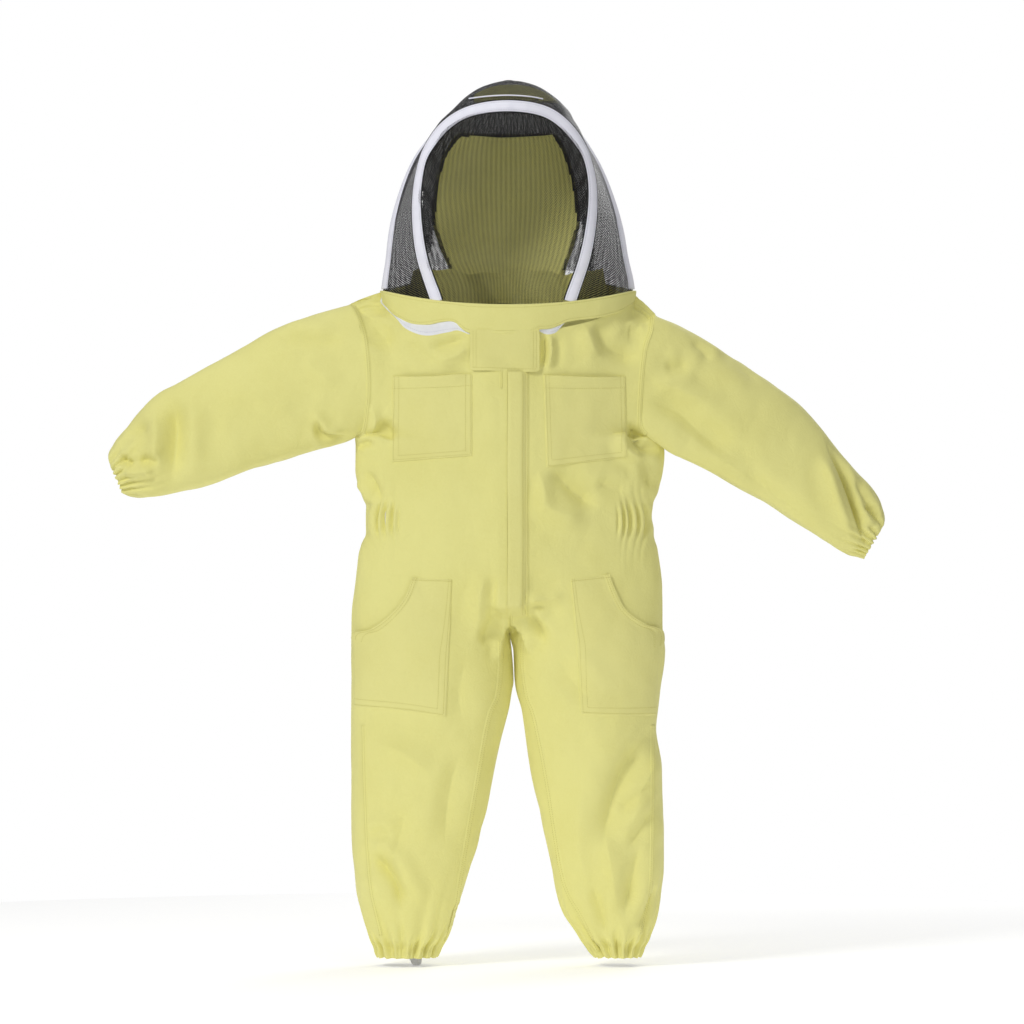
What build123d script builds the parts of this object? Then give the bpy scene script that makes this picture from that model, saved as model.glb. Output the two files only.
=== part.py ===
"""Child's beekeeping suit: a one-piece coverall with a zip-on hooped veil, worn shape, arms held out.

Frame: millimetres, +Z up, +X to the wearer's left, the front faces -Y.
The origin is between the shoulders, at the height where the wearer's shoulders carry the suit.
Every cloth piece is a thin skin cut from one of four body forms: torso, sleeve, leg and hood.
"""

import os
from math import atan, cos, radians, sin

from build123d import *

os.makedirs("parts", exist_ok=True)

# ---------------------------------------------------------------- driving dimensions
cloth = 1.6  # coverall fabric with its seam allowances
patch = 1.2  # pockets and other single layers sewn on top
netting = 1.0  # veil mesh
lift = 0.3  # air between a patch and the cloth under it
gap = 0.5  # clearance between bodies that turn on each other

torso_half_depth = 78.0
# (height, half width) from the hips up to the neck
torso_stations = [(-500, 226), (-400, 221), (-321, 205), (-262, 216), (-205, 222),
                  (-90, 222), (-25, 222), (8, 198), (45, 182)]

shoulder_x, shoulder_z = 268.0, -113.0  # centre of the armhole
armhole_radius = 98.0
# (distance along the sleeve from the armhole centre, half width, half depth)
sleeve_stations = [(-110, 92, 50), (0, 96, 49), (80, 93, 46), (165, 84, 42), (235, 70, 38),
                   (290, 52, 32), (325, 33, 25), (347, 26, 20)]
right_droop, left_droop = 24.5, 36.0  # how far each sleeve points below the horizontal, degrees
left_sleeve_trim = 0.9  # the left sleeve hangs more gathered, so it is narrower
cuff_length = 24.0  # elastic at the wrist

hip_z = -500.0  # the legs swing about a line across the hips
hip_radius = 66.0  # the leg's rounded top
hip_reach = 12.0  # the torso's cloth ends this far above the hip line
# (height, centre, half width, half depth)
leg_stations = [(-400, 116, 107, 66), (-500, 116, 108.5, 66), (-570, 117.5, 107, 64),
                (-657, 124.5, 99.5, 62), (-745, 132, 93, 58), (-832, 143.5, 82.5, 54),
                (-890, 146.5, 69.5, 48), (-930, 150.5, 52.5, 42), (-958, 150, 43, 36)]
hem_z = leg_stations[-1][0]
ankle_elastic_height = 20.0

# the neck seam lies in a plane that rises from the throat to the nape
neck_z, neck_rise = -3.0, 0.52
band_front_height, band_rise = 38.0, 0.35  # collar band: its height at the throat, its top edge's rise
zip_tape_width = 13.0  # neck zip tape, above and below the seam

# (height, half width, front, back)
hood_stations = [(-62, 181, -76, 76), (10, 183, -84, 80), (60, 180, -112, 92), (105, 172, -130, 114),
                 (150, 161, -138, 124), (195, 145, -136, 122), (238, 122, -122, 106),
                 (275, 90, -96, 80), (302, 56, -62, 48), (316, 20, -26, 14)]
arch_centre_x = -4.0  # front hoop, seen from the front: its centre line
arch_side = [(97, -8), (113, 60), (122.5, 146), (108, 215), (66, 263)]
arch_top_z = 283.0
rear_hoop_y, rear_hoop_lean = 4.0, 0.13
binding_width = 17.0
boning_width, boning_thickness = 6.0, 2.0
# back fabric panel, seen from behind: half widths at three heights
panel_bottom, panel_middle, panel_top = (86, 38), (109, 118), (72, 244)

zip_x = 4.0
zip_top_z, zip_bottom_z = -58.0, -438.0
tape_width, tooth_pitch = 13.0, 4.0
slider_gap = 0.5  # between the zip and the back of its slider
placket_edge_x, placket_seam_x = -7.0, 24.0  # free edge and sewn edge of the zip cover
placket_top_z = -107.0
placket_stand = 6.2  # the zip cover stands this far out, over the slider and its pull

flap_low_x, flap_high_x = -52.0, 46.0
flap_top_z, flap_bottom_z = -49.0, -105.0
flap_stand = 6.6  # the throat flap stands over the sliders

pocket_width, pocket_height = 117.0, 122.0
chest_pocket_x, chest_pocket_z = 110.0, -174.0
# hip pocket, on the wearer's left: corners and the scooped opening
hip_pocket_top_inner, hip_pocket_top_outer = (81, -405), (138, -403)
hip_pocket_scoop, hip_pocket_side = (172, -461), (240, -494)
hip_pocket_bottom_outer, hip_pocket_bottom_inner = (240, -594), (90, -606)

strap_width, strap_thickness = 13.0, 1.2

FAR = 1400.0  # a cutting tool's length, longer than the suit


# ---------------------------------------------------------------- body forms
def torso_form(grow=0.0, mode=Mode.ADD):
    sections = []
    for z, half_width in torso_stations:
        with BuildSketch(Plane.XY.offset(z)) as section:
            Ellipse(half_width + grow, torso_half_depth + grow)
        sections.append(section.sketch)
    loft(sections=sections, mode=mode)


def sleeve_axis(side, droop):
    """The sleeve's direction; side is -1 for the wearer's right."""
    return Vector(side * cos(radians(droop)), 0, -sin(radians(droop)))


def sleeve_form(grow=0.0, mode=Mode.ADD, side=1, droop=0.0, trim=1.0):
    axis = sleeve_axis(side, droop)
    centre = Vector(side * shoulder_x, 0, shoulder_z)
    sections = []
    for along, half_width, half_depth in sleeve_stations:
        width = half_width * (trim if along > 0 else 1)
        with BuildSketch(Plane(origin=centre + axis * along, x_dir=(0, 1, 0), z_dir=axis)) as section:
            Ellipse(half_depth + grow, width + grow)
        sections.append(section.sketch)
    loft(sections=sections, mode=mode)


def leg_form(grow=0.0, mode=Mode.ADD, side=1):
    sections = []
    for z, centre, half_width, half_depth in reversed(leg_stations):
        with BuildSketch(Plane((side * centre, 0, z))) as section:
            Ellipse(half_width + grow, half_depth + grow)
        sections.append(section.sketch)
    loft(sections=sections, mode=mode)


def hood_form(grow=0.0, mode=Mode.ADD):
    sections = []
    for z, half_width, front, back in hood_stations:
        rise = grow if z == hood_stations[-1][0] else 0
        with BuildSketch(Plane((0, (front + back) / 2, z + rise))) as section:
            Ellipse(half_width + grow, (back - front) / 2 + grow)
        sections.append(section.sketch)
    loft(sections=sections, mode=mode)


def skin(form, inner, outer, **where):
    """A sheet that follows a body form, between two distances from its surface."""
    form(grow=outer, **where)
    form(grow=inner, mode=Mode.SUBTRACT, **where)


# ---------------------------------------------------------------- cutting tools
def keep_box(low, high, mode=Mode.INTERSECT):
    size = [b - a for a, b in zip(low, high)]
    middle = tuple((a + b) / 2 for a, b in zip(low, high))
    with Locations(middle):
        Box(*size, mode=mode)


def sloping_plane(height, rise):
    return Plane(origin=(0, 0, height), x_dir=(1, 0, 0), z_dir=(0, -rise, 1))


def neck_plane(shift=0.0):
    return sloping_plane(neck_z + shift, neck_rise)


def band_top_plane():
    front_y = hood_stations[1][2]
    throat_z = neck_z + neck_rise * front_y + band_front_height
    return sloping_plane(throat_z - band_rise * front_y, band_rise)


def keep_above(plane):
    split(bisect_by=plane, keep=Keep.TOP)


def keep_below(plane):
    split(bisect_by=plane, keep=Keep.BOTTOM)


def rear_hoop_plane(shift=0.0):
    """Its positive side is behind the hoop."""
    return Plane(origin=(0, rear_hoop_y + shift, 0), x_dir=(1, 0, 0), z_dir=(0, 1, -rear_hoop_lean))


def arch_face(grow=0.0, mode=Mode.ADD):
    """The front hoop's outline seen from the front, widened or narrowed by grow."""
    side = [(x + grow, z) for x, z in arch_side[:3]]
    side += [(x + 0.8 * grow, z + 0.6 * grow) for x, z in arch_side[3:]]
    curve = [(arch_centre_x - x, z) for x, z in side]
    curve += [(arch_centre_x, arch_top_z + grow)]
    curve += [(arch_centre_x + x, z) for x, z in reversed(side)]
    with BuildLine() as outline:
        Spline(*curve)
        Polyline(curve[-1], (curve[-1][0], -90), (curve[0][0], -90), curve[0])
    make_face(outline.edges(), mode=mode)


def cut_by_arch(outer_grow, inner_grow=None, mode=Mode.INTERSECT):
    with BuildSketch(Plane.XZ) as ring:
        arch_face(outer_grow)
        if inner_grow is not None:
            arch_face(inner_grow, mode=Mode.SUBTRACT)
    extrude(ring.sketch, amount=FAR, mode=mode)


def front_rectangle(x_low, x_high, z_low, z_high, mode=Mode.INTERSECT):
    keep_box((x_low, -FAR, z_low), (x_high, 0, z_high), mode=mode)


def finish(piece, name):
    piece.part.label = name
    export_step(piece.part, f"parts/{name}.step")
    print(f"{name:26s} solids {len(piece.part.solids())}  volume {piece.part.volume / 1000:8.2f} cm3")


# ---------------------------------------------------------------- coverall
def open_for_limbs():
    """The torso's openings: a round armhole on each side and a concave edge over the legs."""
    for side in (-1, 1):
        with Locations((side * shoulder_x, 0, shoulder_z)):
            Cylinder(armhole_radius + gap, FAR, rotation=(90, 0, 0), mode=Mode.SUBTRACT)
    with Locations((0, 0, hip_z)):
        Cylinder(hip_radius + 2 * patch + gap, FAR, rotation=(0, 90, 0), mode=Mode.SUBTRACT)
    keep_box((-FAR, -FAR, hip_z - 50), (FAR, FAR, hip_z + hip_reach), mode=Mode.SUBTRACT)


def coverall_panel(name, low, high):
    with BuildPart() as panel:
        skin(torso_form, -cloth, 0)
        keep_below(neck_plane(-gap / 2))
        keep_box(low, high)
        open_for_limbs()
    finish(panel, name)


zip_half = 2.6  # half the opening that the zip fills
coverall_panel("right_front_panel", (-400, -FAR, -520), (zip_x - zip_half, 0, 100))
coverall_panel("left_front_panel", (zip_x + zip_half, -FAR, -520), (400, 0, 100))
coverall_panel("back_panel", (-400, 0, -520), (400, FAR, 100))

for side, side_name in ((-1, "right"), (1, "left")):
    with BuildPart() as waist_elastic:
        skin(torso_form, -cloth - lift - patch, -cloth - lift)
        low_x, high_x = sorted((side * 150, side * 300))
        keep_box((low_x, -FAR, -345), (high_x, FAR, -297))
    finish(waist_elastic, f"{side_name}_waist_elastic")

    with BuildPart() as chest_pocket:
        skin(torso_form, lift, lift + patch)
        middle_x = side * chest_pocket_x
        front_rectangle(middle_x - pocket_width / 2, middle_x + pocket_width / 2,
                        chest_pocket_z - pocket_height / 2, chest_pocket_z + pocket_height / 2)
    finish(chest_pocket, f"{side_name}_chest_pocket")

with BuildPart() as neck_zip_lower_tape:
    skin(torso_form, lift, lift + 0.8)
    keep_below(neck_plane(-gap / 2))
    keep_above(neck_plane(-zip_tape_width / 2))
    front_rectangle(-200, 200, -100, 10)
    front_rectangle(placket_edge_x - 1, placket_seam_x + 1, -100, 10, mode=Mode.SUBTRACT)
finish(neck_zip_lower_tape, "neck_zip_lower_tape")


# ---------------------------------------------------------------- front zip and its cover
zip_face = -torso_half_depth
for side, side_name in ((-1, "right"), (1, "left")):
    with BuildPart() as zip_tape:
        skin(torso_form, -cloth - lift - 0.8, -cloth - lift)
        low_x, high_x = sorted((zip_x + side * 0.3, zip_x + side * tape_width))
        front_rectangle(low_x, high_x, zip_bottom_z - 6, zip_top_z + 6)
    finish(zip_tape, f"{side_name}_front_zip_tape")

    with BuildPart() as zip_teeth:
        run = zip_top_z - zip_bottom_z - 12
        with Locations((zip_x + side * 1.3, zip_face + 0.9, (zip_top_z + zip_bottom_z) / 2)):
            Box(0.8, 1.7, run)
        count = int(run / tooth_pitch) - 1
        middle_z = (zip_top_z + zip_bottom_z) / 2 + side * tooth_pitch / 4
        with Locations(Plane((zip_x + side * 0.5, zip_face + 0.6, middle_z), x_dir=(1, 0, 0), z_dir=(0, -1, 0))):
            with GridLocations(1, tooth_pitch, 1, count):
                Box(2.0, 1.2, 1.4)
    finish(zip_teeth, f"{side_name}_front_zip_teeth")

with BuildPart() as zip_stop:
    with Locations((zip_x, zip_face + 0.6, zip_bottom_z + 1.8)):
        Box(4.8, 2.0, 4.0)
    fillet(zip_stop.edges().filter_by(Axis.Y), 0.8)
finish(zip_stop, "front_zip_stop")


def slider_with_lugs(x, front_y, z, width, height):
    """A slider's front plate with the two lugs that carry its pull."""
    with Locations((x, front_y + 0.8, z)):
        plate = Box(width, 1.6, height)
    fillet(plate.edges().filter_by(Axis.Y), 0.3 * width)
    for side in (-1, 1):
        with Locations((x + side * 1.5, front_y - 0.9, z + height / 4)):
            Box(0.8, 2.2, 3.0)


def pull_tab(x, front_y, pin_z, width, length):
    """A flat pull that hangs from a pin between the slider's lugs."""
    with Locations((x, front_y - 1.2, pin_z)):
        Cylinder(0.5, 1.7, rotation=(0, 90, 0))
    with Locations((x, front_y - 1.2, pin_z - 2.6)):
        Box(1.7, 0.8, 5.0)
    with BuildSketch(Plane.XZ.offset(-(front_y - 0.8))) as tab:
        with Locations((x, pin_z - 4 - length / 2)):
            RectangleRounded(width, length, 0.4 * width)
        with Locations((x, pin_z - length)):
            Circle(0.25 * width, mode=Mode.SUBTRACT)
    extrude(tab.sketch, amount=0.8)


slider_front_y = zip_face - slider_gap - 1.6
slider_z = zip_top_z - 8
with BuildPart() as front_zip_slider:
    slider_with_lugs(zip_x, slider_front_y, slider_z, 8, 11)
finish(front_zip_slider, "front_zip_slider")

with BuildPart() as front_zip_pull:
    pull_tab(zip_x, slider_front_y, slider_z + 2.75, 6, 22)
finish(front_zip_pull, "front_zip_pull")

with BuildPart() as front_placket:
    skin(torso_form, placket_stand, placket_stand + 1.4)
    front_rectangle(placket_edge_x, placket_seam_x, zip_bottom_z - 4, placket_top_z)
finish(front_placket, "front_placket")

with BuildPart() as placket_seam:
    skin(torso_form, lift, placket_stand + 1.4)
    front_rectangle(placket_seam_x + lift, placket_seam_x + lift + 1.6, zip_bottom_z - 4, placket_top_z)
finish(placket_seam, "placket_seam")


# ---------------------------------------------------------------- neck zip sliders
tilt = atan(neck_rise)
neck_radius = torso_stations[6][1] ** 2 / (torso_half_depth / cos(tilt))  # the seam's bend at the throat
seam_front = Vector(0, -torso_half_depth, neck_z - neck_rise * torso_half_depth)
into_plane = Vector(0, cos(tilt), sin(tilt))
bend_centre = seam_front + into_plane * neck_radius
for side, side_name in ((-1, "right"), (1, "left")):
    swing = side * 13.0 / neck_radius
    place = Plane(origin=bend_centre - into_plane * (neck_radius * cos(swing)) + Vector(neck_radius * sin(swing), 0, 0))
    with BuildPart() as neck_slider:
        front_y = place.origin.Y - 3.4
        slider_with_lugs(place.origin.X, front_y, place.origin.Z, 7, 10)
        with Locations((place.origin.X, front_y - 1.2, place.origin.Z + 1.5)):
            Box(2.2, 0.7, 2.0)
    finish(neck_slider, f"{side_name}_neck_zip_slider")


# ---------------------------------------------------------------- throat flap
with BuildPart() as throat_flap:
    skin(torso_form, flap_stand, flap_stand + 1.4)
    front_rectangle(flap_low_x, flap_high_x, flap_bottom_z, flap_top_z)
    fillet(throat_flap.edges().filter_by(Axis.Y, tolerance=20).sort_by(Axis.Z)[:2], 6)
finish(throat_flap, "throat_flap")


# ---------------------------------------------------------------- hood
with BuildPart() as collar_band:
    skin(hood_form, -cloth, 0)
    keep_above(neck_plane(gap / 2))
    keep_below(band_top_plane())
finish(collar_band, "collar_band")

with BuildPart() as neck_zip_upper_tape:
    skin(hood_form, -cloth - lift - 0.8, -cloth - lift)
    keep_above(neck_plane(gap / 2))
    keep_below(neck_plane(zip_tape_width))
finish(neck_zip_upper_tape, "neck_zip_upper_tape")

with BuildPart() as face_veil:
    skin(hood_form, -netting, 0)
    keep_above(band_top_plane())
    cut_by_arch(0)
finish(face_veil, "face_veil")

for side, side_name in ((-1, "right"), (1, "left")):
    with BuildPart() as side_veil:
        skin(hood_form, -netting, 0)
        keep_above(band_top_plane())
        keep_below(rear_hoop_plane())
        low_x, high_x = sorted((arch_centre_x, side * 400))
        keep_box((low_x, -FAR, -100), (high_x, FAR, 400))
        cut_by_arch(0, mode=Mode.SUBTRACT)
    finish(side_veil, f"{side_name}_side_veil")


def back_panel_face():
    low, middle, high = panel_bottom, panel_middle, panel_top
    with BuildLine() as outline:
        ThreePointArc((low[0], low[1]), middle, (high[0], high[1]))
        Line((high[0], high[1]), (-high[0], high[1]))
        ThreePointArc((-high[0], high[1]), (-middle[0], middle[1]), (-low[0], low[1]))
        Line((-low[0], low[1]), (low[0], low[1]))
    make_face(outline.edges())


with BuildPart() as hood_back_panel:
    skin(hood_form, -netting, 0.4)
    keep_above(band_top_plane())
    with BuildSketch(Plane.XZ):
        back_panel_face()
    extrude(amount=-FAR, mode=Mode.INTERSECT)
finish(hood_back_panel, "hood_back_panel")

with BuildPart() as back_veil:
    skin(hood_form, -netting, 0)
    keep_above(rear_hoop_plane())
    keep_above(band_top_plane())
    with BuildSketch(Plane.XZ):
        back_panel_face()
    extrude(amount=-FAR, mode=Mode.SUBTRACT)
finish(back_veil, "back_veil")

with BuildPart() as crown_patch:
    skin(hood_form, lift, lift + patch)
    front_rectangle(-54, 54, 293, 330)
    keep_below(rear_hoop_plane(-binding_width / 2 - 2))
    cut_by_arch(binding_width / 2 + 1, mode=Mode.SUBTRACT)
finish(crown_patch, "crown_patch")

for outward, inner, outer, name in ((binding_width / 2, lift, lift + patch, "front_hoop_binding"),
                                    (boning_width / 2, -netting - lift - boning_thickness, -netting - lift,
                                     "front_hoop")):
    with BuildPart() as front_arch:
        skin(hood_form, inner, outer)
        keep_above(band_top_plane())
        cut_by_arch(outward, -outward)
    finish(front_arch, name)

for outward, inner, outer, name in ((binding_width / 2, lift, lift + patch, "rear_hoop_binding"),
                                    (boning_width / 2, -cloth - lift - boning_thickness, -cloth - lift,
                                     "rear_hoop")):
    with BuildPart() as rear_arch:
        skin(hood_form, inner, outer)
        keep_above(band_top_plane())
        keep_above(rear_hoop_plane(-outward))
        keep_below(rear_hoop_plane(outward))
    finish(rear_arch, name)


# ---------------------------------------------------------------- sleeves
def round_shoulder(side, droop):
    """Keeps the disc about the armhole and everything further down the sleeve."""
    axis = sleeve_axis(side, droop)
    centre = Vector(side * shoulder_x, 0, shoulder_z)
    disc = Pos(centre.X, 0, centre.Z) * Rot(90, 0, 0) * Cylinder(armhole_radius, FAR, mode=Mode.PRIVATE)
    outward = Plane(origin=centre, x_dir=(0, 1, 0), z_dir=axis)
    outer = outward * Pos(0, 0, FAR / 2) * Box(FAR, FAR, FAR, mode=Mode.PRIVATE)
    add(disc + outer, mode=Mode.INTERSECT)


for side, side_name, droop, trim in ((-1, "right", right_droop, 1.0), (1, "left", left_droop, left_sleeve_trim)):
    with BuildPart() as sleeve:
        skin(sleeve_form, -cloth, 0, side=side, droop=droop, trim=trim)
        round_shoulder(side, droop)
    finish(sleeve, f"{side_name}_sleeve")

    with BuildPart() as cuff_elastic:
        skin(sleeve_form, -cloth - lift - patch, -cloth - lift, side=side, droop=droop, trim=trim)
        cuff_start = Vector(side * shoulder_x, 0, shoulder_z)
        cuff_start += sleeve_axis(side, droop) * (sleeve_stations[-1][0] - cuff_length)
        keep_above(Plane(origin=cuff_start, x_dir=(0, 1, 0), z_dir=sleeve_axis(side, droop)))
    finish(cuff_elastic, f"{side_name}_cuff_elastic")


# ---------------------------------------------------------------- legs
def hip_pocket_face(side):
    corners = [hip_pocket_top_inner, hip_pocket_top_outer, hip_pocket_scoop,
               hip_pocket_side, hip_pocket_bottom_outer, hip_pocket_bottom_inner]
    inner, outer, scoop, edge, low_outer, low_inner = [(side * x, z) for x, z in corners]
    with BuildLine() as outline:
        Line(inner, outer)
        ThreePointArc(outer, scoop, edge)
        Polyline(edge, low_outer, low_inner, inner)
    make_face(outline.edges())


for side, side_name in ((-1, "right"), (1, "left")):
    with BuildPart() as leg:
        skin(leg_form, -cloth, 0, side=side)
        hip_drum = Pos(0, 0, hip_z) * Rot(0, 90, 0) * Cylinder(hip_radius, FAR, mode=Mode.PRIVATE)
        below_hip = Pos(0, 0, hip_z - FAR / 2) * Box(FAR, FAR, FAR, mode=Mode.PRIVATE)
        add(hip_drum + below_hip, mode=Mode.INTERSECT)
    finish(leg, f"{side_name}_leg")

    with BuildPart() as pocket_mouth:
        skin(torso_form, lift, lift + patch)
        with BuildSketch(Plane.XZ):
            hip_pocket_face(side)
        extrude(amount=FAR, mode=Mode.INTERSECT)
        open_for_limbs()
    finish(pocket_mouth, f"{side_name}_hip_pocket_mouth")

    with BuildPart() as pocket_bag:
        skin(leg_form, lift, lift + patch, side=side)
        with BuildSketch(Plane.XZ):
            hip_pocket_face(side)
        extrude(amount=FAR, mode=Mode.INTERSECT)
        keep_box((-FAR, -FAR, -FAR), (FAR, 0, hip_z - 2))
    finish(pocket_bag, f"{side_name}_hip_pocket_bag")

    with BuildPart() as ankle_elastic:
        skin(leg_form, -cloth - lift - patch, -cloth - lift, side=side)
        keep_box((-FAR, -FAR, hem_z + 2), (FAR, FAR, hem_z + 2 + ankle_elastic_height))
    finish(ankle_elastic, f"{side_name}_ankle_elastic")


# ---------------------------------------------------------------- foot loops
for side, side_name, drop in ((-1, "right", 38.0), (1, "left", 22.0)):
    with BuildPart() as foot_loop:
        top_z = hem_z + 26
        middle_x = side * 148
        with BuildSketch(Plane.XZ.offset(-strap_width / 2)):
            with BuildLine():
                ThreePointArc((middle_x - 24, top_z), (middle_x, top_z - drop), (middle_x + 24, top_z))
                offset(amount=strap_thickness / 2, side=Side.BOTH, closed=True)
            make_face()
        extrude(amount=strap_width)
    finish(foot_loop, f"{side_name}_foot_loop")
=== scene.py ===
"""Child's beekeeping suit: the looks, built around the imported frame. Metres, +Z up, the front faces -Y."""
import math

import bmesh
import bpy
import numpy as np
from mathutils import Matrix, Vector
from mathutils.bvhtree import BVHTree


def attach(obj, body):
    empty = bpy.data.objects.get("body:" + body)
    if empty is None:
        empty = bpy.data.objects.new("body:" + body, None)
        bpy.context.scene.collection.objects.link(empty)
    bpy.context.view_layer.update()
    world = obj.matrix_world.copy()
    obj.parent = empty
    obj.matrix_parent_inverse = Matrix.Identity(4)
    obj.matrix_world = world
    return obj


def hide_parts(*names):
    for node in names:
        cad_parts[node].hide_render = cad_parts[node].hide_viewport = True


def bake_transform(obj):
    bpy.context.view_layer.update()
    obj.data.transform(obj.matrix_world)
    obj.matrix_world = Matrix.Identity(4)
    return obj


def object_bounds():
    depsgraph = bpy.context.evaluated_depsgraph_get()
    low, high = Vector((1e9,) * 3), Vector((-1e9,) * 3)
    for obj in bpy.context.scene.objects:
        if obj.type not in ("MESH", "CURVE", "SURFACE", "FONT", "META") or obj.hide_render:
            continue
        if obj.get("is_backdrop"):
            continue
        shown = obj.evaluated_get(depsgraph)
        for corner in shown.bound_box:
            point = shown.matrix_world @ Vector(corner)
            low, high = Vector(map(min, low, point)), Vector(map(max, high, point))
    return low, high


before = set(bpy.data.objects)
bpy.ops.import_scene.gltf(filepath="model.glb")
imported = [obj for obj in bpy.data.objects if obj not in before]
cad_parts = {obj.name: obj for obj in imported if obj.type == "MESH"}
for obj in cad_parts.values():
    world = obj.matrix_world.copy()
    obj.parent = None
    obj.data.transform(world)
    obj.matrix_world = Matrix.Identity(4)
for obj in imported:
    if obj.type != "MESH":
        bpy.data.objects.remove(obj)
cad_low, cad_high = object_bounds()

MM = 0.001


# ------------------------------------------------------------------ small tools
def smooth(a, b, x):
    t = np.clip((np.asarray(x, float) - a) / (b - a), 0, 1)
    return t * t * (3 - 2 * t)


def mono(xs, ys):
    """A smooth curve through points that never overshoots (Fritsch-Carlson)."""
    xs, ys = np.asarray(xs, float), np.asarray(ys, float)
    order = np.argsort(xs)
    xs, ys = xs[order], ys[order]
    h, d = np.diff(xs), np.diff(ys) / np.diff(xs)
    m = np.zeros(len(xs))
    m[0], m[-1] = d[0], d[-1]
    for k in range(1, len(xs) - 1):
        if d[k - 1] * d[k] > 0:
            w1, w2 = 2 * h[k] + h[k - 1], h[k] + 2 * h[k - 1]
            m[k] = (w1 + w2) / (w1 / d[k - 1] + w2 / d[k])

    def value(x):
        x = np.clip(np.asarray(x, float), xs[0], xs[-1])
        k = np.clip(np.searchsorted(xs, x) - 1, 0, len(xs) - 2)
        t = (x - xs[k]) / h[k]
        return ((1 + 2 * t) * (1 - t) ** 2 * ys[k] + t * (1 - t) ** 2 * h[k] * m[k]
                + t * t * (3 - 2 * t) * ys[k + 1] + t * t * (t - 1) * h[k] * m[k + 1])

    return value


def travelled(line):
    """How far along a line each of its points lies."""
    return np.concatenate([[0], np.cumsum(np.linalg.norm(np.diff(line, axis=0), axis=1))])


def resampled(where, run, values):
    """The values at other distances along the line whose own distances are run."""
    return np.stack([np.interp(where, run, values[:, k]) for k in range(values.shape[1])], axis=1)


def unit(vectors):
    return vectors / (np.linalg.norm(vectors, axis=-1, keepdims=True) + 1e-12)


def closed_ring(points):
    return np.vstack([points, points[:1]])


def path(points, count, spacing=None):
    """Points along a smooth line, evenly spaced or at the given shares of its length."""
    points = np.asarray(points, float)
    padded = np.vstack([2 * points[0] - points[1], points, 2 * points[-1] - points[-2]])
    fine = []
    for k in range(1, len(padded) - 2):
        p0, p1, p2, p3 = padded[k - 1:k + 3]
        for t in np.linspace(0, 1, 24, endpoint=False):
            fine.append(0.5 * ((2 * p1) + (p2 - p0) * t + (2 * p0 - 5 * p1 + 4 * p2 - p3) * t ** 2
                               + (3 * p1 - p0 - 3 * p2 + p3) * t ** 3))
    fine.append(padded[-2])
    fine = np.array(fine)
    run = travelled(fine)
    want = np.linspace(0, 1, count) if spacing is None else np.asarray(spacing)
    return resampled(want * run[-1], run, fine)


def cosine(count):
    return 0.5 - 0.5 * np.cos(np.linspace(0, math.pi, count))


def coons(bottom, top, left, right, u, v):
    """A sheet of points between four lines. bottom and top run with u, left and right with v."""
    u, v = u[None, :, None], v[:, None, None]
    corners = ((1 - u) * (1 - v) * bottom[0] + u * (1 - v) * bottom[-1]
               + (1 - u) * v * top[0] + u * v * top[-1])
    return (1 - v) * bottom[None] + v * top[None] + (1 - u) * left[:, None] + u * right[:, None] - corners


def mesh_object(name, points, faces):
    mesh = bpy.data.meshes.new(name)
    mesh.from_pydata([tuple(p) for p in points], [], [tuple(int(i) for i in f) for f in faces])
    mesh.update()
    obj = bpy.data.objects.new(name, mesh)
    bpy.context.collection.objects.link(obj)
    mesh.polygons.foreach_set("use_smooth", [True] * len(mesh.polygons))
    return obj


def grid_faces(rows, cols, offset=0, closed=False, flip=False):
    """The quads of a grid of points. closed joins its last column to its first."""
    r, c = np.meshgrid(np.arange(rows - 1), np.arange(cols if closed else cols - 1), indexing="ij")
    a, b = r * cols + c, r * cols + (c + 1) % cols
    quads = np.stack([a, b, b + cols, a + cols], axis=-1).reshape(-1, 4) + offset
    return quads[:, ::-1] if flip else quads


def vertex_values(mesh, kind):
    """A vector for each vertex: its place ("co") or its "normal"."""
    out = np.zeros(len(mesh.vertices) * 3)
    mesh.vertices.foreach_get(kind, out)
    return out.reshape(-1, 3)


def modified(obj, kind, **settings):
    """Adds a modifier and applies it."""
    mod = obj.modifiers.new(kind, kind)
    for key, value in settings.items():
        setattr(mod, key, value)
    depsgraph = bpy.context.evaluated_depsgraph_get()
    mesh = bpy.data.meshes.new_from_object(obj.evaluated_get(depsgraph))
    obj.modifiers.remove(mod)
    old, obj.data = obj.data, mesh
    mesh.name = old.name
    bpy.data.meshes.remove(old)


def noise_field(count, longest, shortest, seed, stretch=(1, 1)):
    """A sum of seeded waves of mixed length and direction, of about unit size."""
    local = np.random.default_rng(seed)
    waves = []
    for k in range(count):
        size = longest * (shortest / longest) ** (k / max(count - 1, 1))
        angle = local.uniform(0, 2 * math.pi)
        waves.append((math.cos(angle) / size / stretch[0], math.sin(angle) / size / stretch[1],
                      local.uniform(0, 2 * math.pi), (size / longest) ** 0.9))
    total = math.sqrt(sum(w[3] ** 2 for w in waves) / 2)

    def value(x, z):
        out = np.zeros_like(np.asarray(x, float))
        for kx, kz, phase, amp in waves:
            out += amp * np.sin(2 * math.pi * (kx * x + kz * z) + phase + 0.6 * np.sin(5 * kz * x + phase))
        return out / total

    return value


# ------------------------------------------------------------------ materials
THREAD_PITCH = 0.0007
GATHER_SPACING = 0.0078  # from one gather of the nets to the next
NET_ANGLE = math.radians(32)


def fill(node, inputs):
    """Sets a node's inputs, each to a constant or to another node's output."""
    for key, value in inputs.items():
        if isinstance(value, bpy.types.NodeSocket):
            node.id_data.links.new(value, node.inputs[key])
        else:
            node.inputs[key].default_value = value


def add(tree, kind, output, inputs, **settings):
    """Adds a shader node and gives one of its outputs."""
    node = tree.nodes.new("ShaderNode" + kind)
    for key, value in settings.items():
        setattr(node, key, value)
    fill(node, inputs)
    return node.outputs[output]


def arithmetic(tree, operation, *terms):
    return add(tree, "Math", "Value", dict(enumerate(terms)), operation=operation)


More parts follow.
